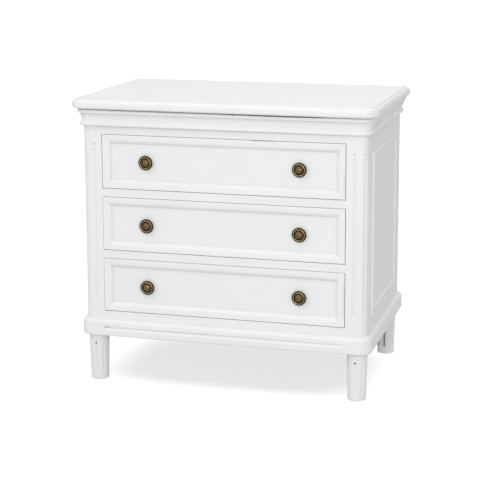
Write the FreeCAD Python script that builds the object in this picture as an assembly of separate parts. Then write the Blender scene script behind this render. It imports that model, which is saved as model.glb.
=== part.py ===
import FreeCAD, Part
import math
import os
from collections import namedtuple

# Nightstand with three inset drawers, fluted front posts and turned, fluted legs.
# Millimetres: X runs to the right, Y to the back and Z up. The origin is on the floor,
# under the middle of the overall box. "Out" is the distance out from a face of the case.

# Overall size
WIDTH = 762.0
DEPTH = 471.0
HEIGHT = 714.0

# Top board, flush at the back
TOP_THICKNESS = 24.0
TOP_OVERHANG = 25.0
TOP_CORNER_RADIUS = 35.0
NOSE_LOWER_RADIUS = 5.5
NOSE_UPPER_RADIUS = 10.0
NOSE_STEP = 1.5

# Posts
POST_WIDTH = 51.0
POST_CORNER_RADIUS = 19.0

# Flutes and drilled dimples of the front posts
POST_FLUTE_CUTTER_RADIUS = 5.5
POST_FLUTE_DEPTH = 2.3
POST_FLUTE_FROM_CORNER = 31.0
POST_FLUTE_ABOVE_BASE = 45.0
POST_FLUTE_BELOW_CORNICE = 55.5
POST_DIMPLE_RADIUS = 3.5
POST_DIMPLE_ABOVE_FLUTE = 9.5

# Legs
LEG_HEIGHT = 120.0
LEG_TOP_DIAMETER = 51.0
LEG_FOOT_DIAMETER = 44.5
LEG_FOOT_EASING = 2.0
LEG_FLUTES = 8
LEG_FLUTE_CUTTER_RADIUS = 4.0
LEG_FLUTE_DEPTH = 2.0
LEG_FLUTE_ABOVE_FLOOR = 19.0
LEG_FLUTE_LENGTH = 70.0
LEG_DIMPLE_RADIUS = 2.8
LEG_DIMPLE_ABOVE_FLUTE = 7.0
LEG_BOLT_RADIUS = 4.0
LEG_BOLT_IN_LEG = 35.0
LEG_BOLT_IN_POST = 30.0

# Rails between the posts
TOP_RAIL_HEIGHT = 63.0
TOP_RAIL_THICKNESS = 22.0
DIVIDER_THICKNESS = 20.0
DIVIDER_DEPTH = 60.0
APRON_HEIGHT = 42.0
APRON_THICKNESS = 20.0
BACK_RAIL_THICKNESS = 20.0
TENON_LENGTH = 20.0
TENON_SHOULDER = 6.0

# Panels
SIDE_PANEL_THICKNESS = 18.0
TONGUE_THICKNESS = 6.0
TONGUE_LENGTH = 8.0
BACK_PANEL_THICKNESS = 6.0
BACK_PANEL_LAP = 8.0
DUST_PANEL_THICKNESS = 6.0
DUST_PANEL_HEIGHT = 30.0
DUST_PANEL_GROOVE = 5.0

# Base moulding, applied round the front and the sides
BASE_OUT = 12.0
BASE_HEIGHT = 43.0
BASE_EASING = 2.5
BASE_GROOVE_TOP = 24.0
BASE_GROOVE_HEIGHT = 9.0
BASE_GROOVE_DEPTH = 3.3
BASE_GROOVE_WALL_LEAN = 0.5
BASE_GROOVE_FROM_CORNER = 54.0
BASE_GROOVE_FROM_BACK = 62.0

# Cornice under the top board, from its lower bead up to its quirk
CORNICE_FILLET_OUT = 4.7
LOWER_BEAD_RADIUS = 5.0
NECK_HEIGHT = 20.0
NECK_HOLLOW = 0.9
NECK_TOP_OUT = 7.5
UPPER_BEAD_RADIUS = 5.6
UPPER_BEAD_CENTRE_OUT = 9.6
QUIRK_HEIGHT = 1.8
QUIRK_OUT = 8.0

# Picture-frame moulding on each side panel
SIDE_FRAME_WIDTH = 17.0
SIDE_FRAME_OUT = 5.0
SIDE_FRAME_EDGE = 1.5
SIDE_FRAME_FROM_POST = 10.0
SIDE_FRAME_ABOVE_BASE = 37.0
SIDE_FRAME_BELOW_CORNICE = 47.0

# Drawer fronts, flush with the case, each with a sunk field
DRAWER_GAP = 1.5
FRONT_THICKNESS = 22.0
BORDER_WIDTH = 12.5
STICKING_WIDTH = 9.0
STICKING_DEPTH = 5.0
STICKING_ROUND = 1.1
FIELD_DEPTH = 6.5

# Drawer boxes
DRAWER_SIDE_THICKNESS = 12.0
DRAWER_SIDE_HEIGHT = 120.0
DRAWER_BACK_DROP = 8.0
DRAWER_REAR_SPACE = 35.5
DRAWER_BOTTOM_THICKNESS = 6.0
DRAWER_BOTTOM_HEIGHT = 10.0
DRAWER_GROOVE = 6.0
DOVETAILS = 3
DOVETAIL_LENGTH = 14.0
DOVETAIL_ROOT = 24.0
DOVETAIL_FLARE = 3.0

# Runners, stops and cleats
RUNNER_THICKNESS = 12.0
RUNNER_BEARING = 16.0
GUIDE_HEIGHT = 24.0
STOP_HEIGHT = 6.0
STOP_DEPTH = 10.0
STOP_LENGTH = 40.0
STOP_FROM_MIDDLE = 200.0
CLEAT_SIZE = 20.0

# Knobs: turned heads on a neck, each held by a screw from inside
KNOB_FROM_FRONT_END = 111.5
KNOB_BELOW_MIDDLE = {"bottom": 2.0, "middle": 2.0, "top": 0.0}
KNOB_RADIUS = 18.0
KNOB_FOOT_RADIUS = 9.0
KNOB_NECK_RADIUS = 7.5
KNOB_NECK_LENGTH = 3.0
KNOB_FLARE_HOLLOW = 1.0
KNOB_RIM_FROM_FIELD = 6.0
KNOB_RIM_THICKNESS = 1.2
KNOB_BEAD_CENTRE_RADIUS = 13.5
KNOB_BEAD_RADIUS = 1.5
KNOB_BEAD_RISE = 2.0
KNOB_DOME_RADIUS = 10.9
KNOB_DOME_RISE = 6.5
SCREW_RADIUS = 2.0
SCREW_IN_KNOB = 8.0
SCREW_HEAD_RADIUS = 4.5
SCREW_HEAD_THICKNESS = 2.5

# Clearances: glued or bolted pieces in their holes, and drawers on what carries them
FIT = 0.1
RUNNING = 0.3

# Places worked out from the sizes above
BACK = DEPTH / 2
CASE_HALF = WIDTH / 2 - TOP_OVERHANG
CASE_FRONT = -DEPTH / 2 + TOP_OVERHANG
CASE_BOTTOM = LEG_HEIGHT
CASE_TOP = HEIGHT - TOP_THICKNESS
OPENING_HALF = CASE_HALF - POST_WIDTH
FRONT_POST_BACK = CASE_FRONT + POST_WIDTH
BACK_POST_FRONT = BACK - POST_WIDTH
PANEL_INSIDE = CASE_HALF - SIDE_PANEL_THICKNESS
BACK_PANEL_FACE = BACK - BACK_PANEL_THICKNESS
BACK_RAIL_FACE = BACK_PANEL_FACE - BACK_RAIL_THICKNESS
DIVIDER_BACK = CASE_FRONT + DIVIDER_DEPTH
BASE_TOP = CASE_BOTTOM + BASE_HEIGHT
CORNICE_BOTTOM = CASE_TOP - (2 * LOWER_BEAD_RADIUS + NECK_HEIGHT + 2 * UPPER_BEAD_RADIUS + QUIRK_HEIGHT)
TOP_RAIL_BOTTOM = CASE_TOP - TOP_RAIL_HEIGHT
APRON_TOP = CASE_BOTTOM + APRON_HEIGHT
DUST_PANEL_UNDERSIDE = CASE_BOTTOM + DUST_PANEL_HEIGHT
DRAWER_HALF = OPENING_HALF - DRAWER_GAP
DRAWER_INSIDE = DRAWER_HALF - DRAWER_SIDE_THICKNESS
FRONT_BACK_FACE = CASE_FRONT + FRONT_THICKNESS
DRAWER_REAR = BACK - DRAWER_REAR_SPACE

# Drawer openings, equal, stacked up from the bottom divider
LEVELS = ("bottom", "middle", "top")
LOWEST_OPENING = APRON_TOP + DIVIDER_THICKNESS
OPENING_PITCH = (TOP_RAIL_BOTTOM + DIVIDER_THICKNESS - LOWEST_OPENING) / len(LEVELS)
OPENING_HEIGHT = OPENING_PITCH - DIVIDER_THICKNESS
OPENING_BOTTOM = {level: LOWEST_OPENING + i * OPENING_PITCH for i, level in enumerate(LEVELS)}

V = FreeCAD.Vector
ORIGIN = V(0, 0, 0)
UP = V(0, 0, 1)
OVERCUT = 1.0
QUARTER_BULGE = 1 - math.sqrt(0.5)

Outline = namedtuple("Outline", "half_width front back radius")
CASE_OUTLINE = Outline(CASE_HALF, CASE_FRONT, BACK, POST_CORNER_RADIUS)
TOP_OUTLINE = Outline(WIDTH / 2, -DEPTH / 2, BACK, TOP_CORNER_RADIUS)

Rail = namedtuple("Rail", "y z")
RAILS = {
    "front_top_rail": Rail((CASE_FRONT, CASE_FRONT + TOP_RAIL_THICKNESS), (TOP_RAIL_BOTTOM, CASE_TOP)),
    "divider_rail_upper": Rail(
        (CASE_FRONT, DIVIDER_BACK), (OPENING_BOTTOM["top"] - DIVIDER_THICKNESS, OPENING_BOTTOM["top"])
    ),
    "divider_rail_lower": Rail(
        (CASE_FRONT, DIVIDER_BACK), (OPENING_BOTTOM["middle"] - DIVIDER_THICKNESS, OPENING_BOTTOM["middle"])
    ),
    "divider_rail_bottom": Rail((CASE_FRONT, DIVIDER_BACK), (APRON_TOP, LOWEST_OPENING)),
    "front_apron": Rail((CASE_FRONT, CASE_FRONT + APRON_THICKNESS), (CASE_BOTTOM, APRON_TOP)),
    "back_top_rail": Rail((BACK_RAIL_FACE, BACK_PANEL_FACE), (TOP_RAIL_BOTTOM, CASE_TOP)),
    "back_bottom_rail": Rail((BACK_RAIL_FACE, BACK_PANEL_FACE), (CASE_BOTTOM, LOWEST_OPENING)),
}


# Basic shapes


def box(x, y, z):
    """Block between the low and high value of each pair."""
    return Part.makeBox(x[1] - x[0], y[1] - y[0], z[1] - z[0], V(x[0], y[0], z[0]))


def grown(pair, amount):
    return (pair[0] - amount, pair[1] + amount)


def mirrored(shape):
    """The same shape on the other side of the nightstand."""
    return shape.mirror(ORIGIN, V(1, 0, 0))


def flat(point):
    """A section's point (out, z) in the XZ plane."""
    return V(point[0], 0, point[1])


def bowed(end, bulge):
    """Section step: an arc standing off its chord by the bulge, to the right of the way along it."""

    def curve(start):
        chord = flat(end) - start
        right = V(chord.z, 0, -chord.x).normalize()
        return Part.Arc(start, start + chord * 0.5 + right * bulge, flat(end))

    return curve


def section(first, *steps):
    """Face in the XZ plane; each step is a point or a round step, and the last line closes it."""
    edges = []
    here = flat(first)
    for step in steps + (first,):
        curve = step(here) if callable(step) else Part.LineSegment(here, flat(step))
        edges.append(curve.toShape())
        here = curve.EndPoint
    return Part.Face(Part.Wire(edges))


def turned(face):
    """The section spun about the Z axis."""
    return face.revolve(ORIGIN, UP, 360)


def capsule(start, end, radius):
    """Round-ended rod: the path of a round cutter from start to end."""
    length = (end - start).Length
    bulge = QUARTER_BULGE * radius
    rod = turned(
        section(
            (0, -radius),
            bowed((radius, 0), bulge),
            (radius, length),
            bowed((0, length + radius), bulge),
        )
    )
    rod.Placement = FreeCAD.Placement(start, FreeCAD.Rotation(UP, end - start))
    return rod


# Mouldings that run round the front and the sides, mitred at the front corners


def corner_centre(outline, side):
    return V(side * (outline.half_width - outline.radius), outline.front + outline.radius, 0)


def corner_run(face, outline, side, start_angle):
    """An eighth of a turn round a front corner, from the given outward direction."""
    centre = corner_centre(outline, side)
    placed = face.translated(V(outline.radius, 0, 0)).rotated(ORIGIN, UP, start_angle).translated(centre)
    return placed.revolve(centre, UP, 45)


def front_run(face, outline):
    """Front piece of a moulding, between the two mitres."""
    left = corner_centre(outline, -1)
    right = corner_centre(outline, 1)
    placed = face.rotated(ORIGIN, UP, 270).translated(V(left.x, outline.front, 0))
    ends = [corner_run(face, outline, -1, 225), corner_run(face, outline, 1, 270)]
    return placed.extrude(right - left).fuse(ends).removeSplitter()


def side_run(face, outline):
    """Right-hand piece of a moulding, from its mitre to the back."""
    start = corner_centre(outline, 1)
    placed = face.translated(V(outline.half_width, start.y, 0))
    straight = placed.extrude(V(0, outline.back - start.y, 0))
    return straight.fuse(corner_run(face, outline, 1, 315)).removeSplitter()


def plan_prism(outline, inset, z):
    """Upright block with the outline's plan, its front corners rounded."""
    radius = outline.radius - inset
    half = outline.half_width - inset
    front = outline.front + inset
    block = box((-half, half), (front, outline.back), z)
    for side in (-1, 1):
        centre = corner_centre(outline, side)
        corner_x = sorted((centre.x, side * half))
        corner = box(corner_x, (front, centre.y), z)
        round_post = Part.makeCylinder(radius, z[1] - z[0], V(centre.x, centre.y, z[0]))
        block = block.cut(corner.cut(round_post))
    return block


# Top board, cornice and base moulding


def top_board():
    inset = (NOSE_UPPER_RADIUS + TOP_CORNER_RADIUS) / 2
    round_top = HEIGHT - NOSE_STEP
    nose = section(
        (-inset, CASE_TOP),
        (-NOSE_LOWER_RADIUS, CASE_TOP),
        bowed((0, CASE_TOP + NOSE_LOWER_RADIUS), QUARTER_BULGE * NOSE_LOWER_RADIUS),
        (0, round_top - NOSE_UPPER_RADIUS),
        bowed((-NOSE_UPPER_RADIUS, round_top), QUARTER_BULGE * NOSE_UPPER_RADIUS),
        (-NOSE_UPPER_RADIUS, HEIGHT),
        (-inset, HEIGHT),
    )
    core = plan_prism(TOP_OUTLINE, inset, (CASE_TOP, HEIGHT))
    side = side_run(nose, TOP_OUTLINE)
    return core.fuse([front_run(nose, TOP_OUTLINE), side, mirrored(side)]).removeSplitter()


def cornice_section():
    neck_bottom = CORNICE_BOTTOM + 2 * LOWER_BEAD_RADIUS
    neck_top = neck_bottom + NECK_HEIGHT
    quirk_bottom = neck_top + 2 * UPPER_BEAD_RADIUS
    return section(
        (0, CORNICE_BOTTOM),
        (CORNICE_FILLET_OUT, CORNICE_BOTTOM),
        bowed((CORNICE_FILLET_OUT, neck_bottom), LOWER_BEAD_RADIUS),
        bowed((NECK_TOP_OUT, neck_top), -NECK_HOLLOW),
        (UPPER_BEAD_CENTRE_OUT, neck_top),
        bowed((UPPER_BEAD_CENTRE_OUT, quirk_bottom), UPPER_BEAD_RADIUS),
        (QUIRK_OUT, quirk_bottom),
        (QUIRK_OUT, CASE_TOP),
        (0, CASE_TOP),
    )


def base_section():
    return section(
        (0, CASE_BOTTOM),
        (BASE_OUT - BASE_EASING, CASE_BOTTOM),
        bowed((BASE_OUT, CASE_BOTTOM + BASE_EASING), QUARTER_BULGE * BASE_EASING),
        (BASE_OUT, BASE_TOP - BASE_OUT),
        bowed((0, BASE_TOP), QUARTER_BULGE * BASE_OUT),
    )


def groove_cutter(length):
    """Stopped groove, deepest under its upper edge, centred on the Z axis, with its ends swept up."""
    top = CASE_BOTTOM + BASE_GROOVE_TOP
    bottom = top - BASE_GROOVE_HEIGHT
    face = section(
        (BASE_OUT + OVERCUT, top),
        (BASE_OUT, top),
        (BASE_OUT - BASE_GROOVE_DEPTH, top - BASE_GROOVE_WALL_LEAN),
        (BASE_OUT, bottom),
        (BASE_OUT + OVERCUT, bottom),
    )
    reach = length / 2 - BASE_GROOVE_HEIGHT
    groove = face.translated(V(0, -reach, 0)).extrude(V(0, 2 * reach, 0))
    for side in (-1, 1):
        end = face.translated(V(0, side * reach, 0))
        groove = groove.fuse(end.revolve(V(0, side * reach, top), V(side, 0, 0), 90))
    return groove


def base_front():
    length = 2 * (CASE_HALF - BASE_GROOVE_FROM_CORNER)
    cutter = groove_cutter(length).rotated(ORIGIN, UP, 270).translated(V(0, CASE_FRONT, 0))
    return front_run(base_section(), CASE_OUTLINE).cut(cutter)


def base_side():
    start = CASE_FRONT + BASE_GROOVE_FROM_CORNER
    end = BACK - BASE_GROOVE_FROM_BACK
    cutter = groove_cutter(end - start).translated(V(CASE_HALF, (start + end) / 2, 0))
    return side_run(base_section(), CASE_OUTLINE).cut(cutter)


# Posts and legs


def tenon(rail, clearance=0.0):
    """Tenon on the rail's right-hand end, kept inside the post's depth."""
    post_back = min(rail.y[1], FRONT_POST_BACK) if rail.y[0] < 0 else rail.y[1]
    y = grown((rail.y[0], post_back), clearance - TENON_SHOULDER)
    z = grown(rail.z, clearance - TENON_SHOULDER)
    return box((OPENING_HALF - OVERCUT, OPENING_HALF + TENON_LENGTH + clearance), y, z)


def cut_joints(post, panel_edge, into_post):
    """Mortises, the side panel's groove and the leg bolt's hole; into_post points away from the panel."""
    for rail in RAILS.values():
        post = post.cut(tenon(rail, FIT))
    groove_x = grown(side_tongue_x(), FIT)
    groove_y = sorted((panel_edge - into_post * OVERCUT, panel_edge + into_post * (TONGUE_LENGTH + FIT)))
    post = post.cut(box(groove_x, groove_y, (CASE_BOTTOM - OVERCUT, CASE_TOP + OVERCUT)))
    centre_y = panel_edge + into_post * POST_WIDTH / 2
    return post.cut(leg_bolt(centre_y, FIT))


def post_flute_lines():
    """Where each flute runs on the right-hand front post: a point on its surface and the way out."""
    corner = corner_centre(CASE_OUTLINE, 1)
    diagonal = V(1, -1, 0).normalize()
    return (
        (V(CASE_HALF - POST_FLUTE_FROM_CORNER, CASE_FRONT, 0), V(0, -1, 0)),
        (corner + diagonal * POST_CORNER_RADIUS, diagonal),
        (V(CASE_HALF, CASE_FRONT + POST_FLUTE_FROM_CORNER, 0), V(1, 0, 0)),
    )


def front_post():
    stock = box((OPENING_HALF, CASE_HALF), (CASE_FRONT, FRONT_POST_BACK), (CASE_BOTTOM, CASE_TOP))
    post = stock.common(plan_prism(CASE_OUTLINE, 0, (CASE_BOTTOM, CASE_TOP)))
    stand_off = POST_FLUTE_CUTTER_RADIUS - POST_FLUTE_DEPTH
    end_reach = math.sqrt(POST_FLUTE_CUTTER_RADIUS**2 - stand_off**2)
    flute_bottom = BASE_TOP + POST_FLUTE_ABOVE_BASE
    flute_top = CORNICE_BOTTOM - POST_FLUTE_BELOW_CORNICE
    for foot, outward in post_flute_lines():
        axis = foot + outward * stand_off
        low = axis + UP * (flute_bottom + end_reach)
        high = axis + UP * (flute_top - end_reach)
        dimple = foot + UP * (flute_top + POST_DIMPLE_ABOVE_FLUTE)
        post = post.cut(capsule(low, high, POST_FLUTE_CUTTER_RADIUS))
        post = post.cut(Part.makeSphere(POST_DIMPLE_RADIUS, dimple))
    return cut_joints(post, FRONT_POST_BACK, -1)


def back_post():
    post = box((OPENING_HALF, CASE_HALF), (BACK_POST_FRONT, BACK), (CASE_BOTTOM, CASE_TOP))
    rabbet_x = (OPENING_HALF - OVERCUT, OPENING_HALF + BACK_PANEL_LAP + FIT)
    rabbet = box(rabbet_x, (BACK_PANEL_FACE, BACK + OVERCUT), grown((CASE_BOTTOM, CASE_TOP), OVERCUT))
    return cut_joints(post.cut(rabbet), BACK_POST_FRONT, 1)


def leg_centre_x():
    return CASE_HALF - POST_WIDTH / 2


def leg_bolt(centre_y, clearance=0.0):
    """Threaded rod from the leg up into the right-hand post."""
    bottom = CASE_BOTTOM - LEG_BOLT_IN_LEG - clearance
    length = LEG_BOLT_IN_LEG + LEG_BOLT_IN_POST + 2 * clearance
    return Part.makeCylinder(LEG_BOLT_RADIUS + clearance, length, V(leg_centre_x(), centre_y, bottom))


def leg_radius(z):
    return (LEG_FOOT_DIAMETER + (LEG_TOP_DIAMETER - LEG_FOOT_DIAMETER) * z / LEG_HEIGHT) / 2


def leg(centre_y):
    """Right-hand leg: tapered, with eight flutes and a dimple over every second one."""
    ease = LEG_FOOT_EASING
    shape = turned(
        section(
            (0, 0),
            (LEG_FOOT_DIAMETER / 2 - ease, 0),
            bowed((leg_radius(ease), ease), QUARTER_BULGE * ease),
            (LEG_TOP_DIAMETER / 2, LEG_HEIGHT),
            (0, LEG_HEIGHT),
        )
    )
    stand_off = LEG_FLUTE_CUTTER_RADIUS - LEG_FLUTE_DEPTH
    end_reach = math.sqrt(LEG_FLUTE_CUTTER_RADIUS**2 - stand_off**2)
    flute_top = LEG_FLUTE_ABOVE_FLOOR + LEG_FLUTE_LENGTH
    low = LEG_FLUTE_ABOVE_FLOOR + end_reach
    high = flute_top - end_reach
    dimple_z = flute_top + LEG_DIMPLE_ABOVE_FLUTE
    cutter_low = V(leg_radius(low) + stand_off, 0, low)
    cutter_high = V(leg_radius(high) + stand_off, 0, high)
    cutter = capsule(cutter_low, cutter_high, LEG_FLUTE_CUTTER_RADIUS)
    dimple = Part.makeSphere(LEG_DIMPLE_RADIUS, V(leg_radius(dimple_z), 0, dimple_z))
    for i in range(LEG_FLUTES):
        angle = 360 * i / LEG_FLUTES
        shape = shape.cut(cutter.rotated(ORIGIN, UP, angle))
        if i % 2 == 0:
            shape = shape.cut(dimple.rotated(ORIGIN, UP, angle))
    return shape.translated(V(leg_centre_x(), centre_y, 0)).cut(leg_bolt(centre_y, FIT))


# Rails, panels and what is fixed to them


def tenoned_rail(rail):
    right = tenon(rail)
    body = box((-OPENING_HALF, OPENING_HALF), rail.y, rail.z)
    return body.fuse([right, mirrored(right)]).removeSplitter()


def dust_panel_z(clearance=0.0):
    return (DUST_PANEL_UNDERSIDE, DUST_PANEL_UNDERSIDE + DUST_PANEL_THICKNESS + clearance)


def front_apron():
    groove_y = (CASE_FRONT + APRON_THICKNESS - DUST_PANEL_GROOVE, CASE_FRONT + APRON_THICKNESS + OVERCUT)
    groove = box((-OPENING_HALF, OPENING_HALF), groove_y, dust_panel_z(FIT))
    return tenoned_rail(RAILS["front_apron"]).cut(groove)


def back_bottom_rail():
    groove_y = (BACK_RAIL_FACE - OVERCUT, BACK_RAIL_FACE + DUST_PANEL_GROOVE)
    groove = box((-OPENING_HALF, OPENING_HALF), groove_y, dust_panel_z(FIT))
    return tenoned_rail(RAILS["back_bottom_rail"]).cut(groove)


def bottom_panel():
    """Dust panel: its front and back edges between the posts, its ends in the side panels."""
    reach = DUST_PANEL_GROOVE - FIT
    long_y = (CASE_FRONT + APRON_THICKNESS - reach, BACK_RAIL_FACE + reach)
    between_y = (FRONT_POST_BACK + FIT, BACK_POST_FRONT - FIT)
    middle_half = OPENING_HALF - FIT
    end_half = PANEL_INSIDE + reach
    middle = box((-middle_half, middle_half), long_y, dust_panel_z())
    ends = box((-end_half, end_half), between_y, dust_panel_z())
    return middle.fuse(ends).removeSplitter()


def side_tongue_x():
    middle = (PANEL_INSIDE + CASE_HALF) / 2
    return (middle - TONGUE_THICKNESS / 2, middle + TONGUE_THICKNESS / 2)


def side_panel():
    z = (CASE_BOTTOM, CASE_TOP)
    panel = box((PANEL_INSIDE, CASE_HALF), (FRONT_POST_BACK, BACK_POST_FRONT), z)
    tongues = box(side_tongue_x(), grown((FRONT_POST_BACK, BACK_POST_FRONT), TONGUE_LENGTH), z)
    groove_x = (PANEL_INSIDE - OVERCUT, PANEL_INSIDE + DUST_PANEL_GROOVE)
    groove = box(groove_x, (FRONT_POST_BACK, BACK_POST_FRONT), dust_panel_z(FIT))
    return panel.fuse(tongues).removeSplitter().cut(groove)


def back_panel():
    half = OPENING_HALF + BACK_PANEL_LAP
    return box((-half, half), (BACK_PANEL_FACE, BACK), (CASE_BOTTOM, CASE_TOP))


def frame_strip(length):
    """Convex strip lying along Y, mitred inwards at both ends, its outer edge at z = 0."""
    width = SIDE_FRAME_WIDTH
    face = section(
        (0, 0),
        (SIDE_FRAME_EDGE, 0),
        bowed((SIDE_FRAME_EDGE, width), SIDE_FRAME_OUT - SIDE_FRAME_EDGE),
        (0, width),
    )
    strip = face.extrude(V(0, length, 0))
    corners = (V(0, 0, 0), V(0, length, 0), V(0, length - width, width), V(0, width, width))
    keep = Part.Face(Part.makePolygon(corners + (corners[0],))).extrude(V(SIDE_FRAME_OUT, 0, 0))
    return strip.common(keep)


def side_frame():
    """Right-hand picture frame: its two crosspieces and its two uprights."""
    front = FRONT_POST_BACK + SIDE_FRAME_FROM_POST
    back = BACK_POST_FRONT - SIDE_FRAME_FROM_POST
    bottom = BASE_TOP + SIDE_FRAME_ABOVE_BASE
    top = CORNICE_BOTTOM - SIDE_FRAME_BELOW_CORNICE
    outward = V(1, 0, 0)
    cross = frame_strip(back - front)
    upright = frame_strip(top - bottom)
    crosspieces = [
        cross.translated(V(CASE_HALF, front, bottom)),
        cross.rotated(ORIGIN, outward, 180).translated(V(CASE_HALF, back, top)),
    ]
    uprights = [
        upright.rotated(ORIGIN, outward, 90).translated(V(CASE_HALF, back, bottom)),
        upright.rotated(ORIGIN, outward, 270).translated(V(CASE_HALF, front, top)),
    ]
    return Part.makeCompound(crosspieces), Part.makeCompound(uprights)


def runner(level):
    """Right-hand runner: a bearing strip under the drawer's side and a guide beside it."""
    z = OPENING_BOTTOM[level]
    y = (DIVIDER_BACK, BACK_POST_FRONT)
    bearing = box((OPENING_HALF - RUNNER_BEARING, PANEL_INSIDE), y, (z - RUNNER_THICKNESS, z))
    guide = box((OPENING_HALF, PANEL_INSIDE), y, (z, z + GUIDE_HEIGHT))
    return bearing.fuse(guide).removeSplitter()


def drawer_stops():
    """Two low blocks on each divider, just behind the drawer front."""
    y = (FRONT_BACK_FACE + RUNNING, FRONT_BACK_FACE + RUNNING + STOP_DEPTH)
    x = grown((STOP_FROM_MIDDLE, STOP_FROM_MIDDLE), STOP_LENGTH / 2)
    stops = []
    for level in LEVELS:
        z = OPENING_BOTTOM[level]
        stop = box(x, y, (z, z + STOP_HEIGHT))
        stops += [stop, mirrored(stop)]
    return Part.makeCompound(stops)


def top_cleats():
    """Strips in the corner between each side panel and the top board."""
    x = (PANEL_INSIDE - CLEAT_SIZE, PANEL_INSIDE)
    cleat = box(x, (FRONT_POST_BACK, BACK_POST_FRONT), (CASE_TOP - CLEAT_SIZE, CASE_TOP))
    return Part.makeCompound([cleat, mirrored(cleat)])


def leg_bolts():
    bolts = [leg_bolt(y) for y in post_centres_y()]
    return Part.makeCompound(bolts + [mirrored(bolt) for bolt in bolts])


def post_centres_y():
    return (CASE_FRONT + POST_WIDTH / 2, BACK - POST_WIDTH / 2)


# Drawers


def recess_profile(half, height_range, turn):
    """Stepped block whose section runs across the field: border edge, round, quirk and flat."""
    edge = half - BORDER_WIDTH
    inner = edge - STICKING_WIDTH
    face = section(
        (edge, -OVERCUT),
        (edge, 0),
        bowed((inner, STICKING_DEPTH), -STICKING_ROUND),
        (inner, FIELD_DEPTH),
        (-inner, FIELD_DEPTH),
        (-inner, STICKING_DEPTH),
        bowed((-edge, 0), -STICKING_ROUND),
        (-edge, -OVERCUT),
    )
    length = height_range[1] - height_range[0]
    block = face.extrude(V(0, -length, 0)).translated(V(0, -height_range[0], 0))
    # The section's depth now runs along Z and its length along -Y: lay the depth along +Y.
    laid = block.rotated(ORIGIN, V(1, 0, 0), -90)
    return laid.rotated(ORIGIN, V(0, 1, 0), turn)


def field_recess(width, height):
    """The sunk field's shape, centred on the origin, with its mitred sticking."""
    across = recess_profile(width / 2, (-height / 2, height / 2), 0)
    upright = recess_profile(height / 2, (-width / 2, width / 2), 90)
    return across.common(upright)


def dovetails(bottom):
    """Tails on the right-hand side's front end, reaching into the front."""
    pitch = DRAWER_SIDE_HEIGHT / DOVETAILS
    tails = []
    for i in range(DOVETAILS):
        z = bottom + (i + 0.5) * pitch
        root = DOVETAIL_ROOT / 2
        tip = root + DOVETAIL_FLARE
        y_root = FRONT_BACK_FACE
        y_tip = FRONT_BACK_FACE - DOVETAIL_LENGTH
        corners = [(y_root, z - root), (y_tip, z - tip), (y_tip, z + tip), (y_root, z + root)]
        points = [V(DRAWER_INSIDE, y, height) for y, height in corners]
        face = Part.Face(Part.makePolygon(points + points[:1]))
        tails.append(face.extrude(V(DRAWER_SIDE_THICKNESS, 0, 0)))
    return tails


def knob_places(level):
    x = DRAWER_HALF - KNOB_FROM_FRONT_END
    z = OPENING_BOTTOM[level] + OPENING_HEIGHT / 2 - KNOB_BELOW_MIDDLE[level]
    return [V(side * x, 0, z) for side in (-1, 1)]


def screw(place, clearance=0.0):
    """Screw from the back of the front, through it and into the knob."""
    shank_length = FRONT_THICKNESS - FIELD_DEPTH + SCREW_IN_KNOB + clearance
    seat = V(place.x, FRONT_BACK_FACE, place.z)
    shank = Part.makeCylinder(SCREW_RADIUS + clearance, shank_length, seat, V(0, -1, 0))
    if clearance:
        return shank
    head = Part.makeCylinder(SCREW_HEAD_RADIUS, SCREW_HEAD_THICKNESS, seat, V(0, 1, 0))
    return shank.fuse(head)


def knob(place):
    """Turned knob: foot, neck, rim, raised bead and domed centre."""
    rim_back = KNOB_RIM_FROM_FIELD
    rim_front = rim_back + KNOB_RIM_THICKNESS
    bead_base = rim_front + KNOB_BEAD_RISE
    bead_outer = KNOB_BEAD_CENTRE_RADIUS + KNOB_BEAD_RADIUS
    bead_inner = KNOB_BEAD_CENTRE_RADIUS - KNOB_BEAD_RADIUS
    dome_ball = (KNOB_DOME_RADIUS**2 + KNOB_DOME_RISE**2) / (2 * KNOB_DOME_RISE)
    dome_bulge = dome_ball * (1 - math.cos(math.asin(KNOB_DOME_RADIUS / dome_ball) / 2))
    face = section(
        (0, 0),
        (KNOB_FOOT_RADIUS, 0),
        (KNOB_NECK_RADIUS, KNOB_NECK_LENGTH),
        bowed((KNOB_RADIUS, rim_back), -KNOB_FLARE_HOLLOW),
        (KNOB_RADIUS, rim_front),
        (bead_outer, bead_base),
        bowed((bead_inner, bead_base), KNOB_BEAD_RADIUS),
        (KNOB_DOME_RADIUS, rim_front),
        bowed((0, rim_front + KNOB_DOME_RISE), dome_bulge),
    )
    field = CASE_FRONT + FIELD_DEPTH
    placed = turned(face).rotated(ORIGIN, V(1, 0, 0), 90).translated(V(place.x, field, place.z))
    return placed.cut(screw(place, FIT))


def drawer_front(level):
    opening = OPENING_BOTTOM[level]
    z = grown((opening, opening + OPENING_HEIGHT), -DRAWER_GAP)
    middle = V(0, CASE_FRONT, (z[0] + z[1]) / 2)
    front = box((-DRAWER_HALF, DRAWER_HALF), (CASE_FRONT, FRONT_BACK_FACE), z)
    front = front.cut(field_recess(2 * DRAWER_HALF, z[1] - z[0]).translated(middle))
    groove_y = (FRONT_BACK_FACE - DRAWER_GROOVE, FRONT_BACK_FACE + OVERCUT)
    front = front.cut(box((-DRAWER_INSIDE, DRAWER_INSIDE), groove_y, drawer_bottom_z(level, FIT)))
    for tail in dovetails(opening + RUNNING):
        front = front.cut(tail).cut(mirrored(tail))
    for place in knob_places(level):
        front = front.cut(screw(place, FIT))
    return front


def drawer_bottom_z(level, clearance=0.0):
    underside = OPENING_BOTTOM[level] + RUNNING + DRAWER_BOTTOM_HEIGHT
    return (underside, underside + DRAWER_BOTTOM_THICKNESS + clearance)


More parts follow.
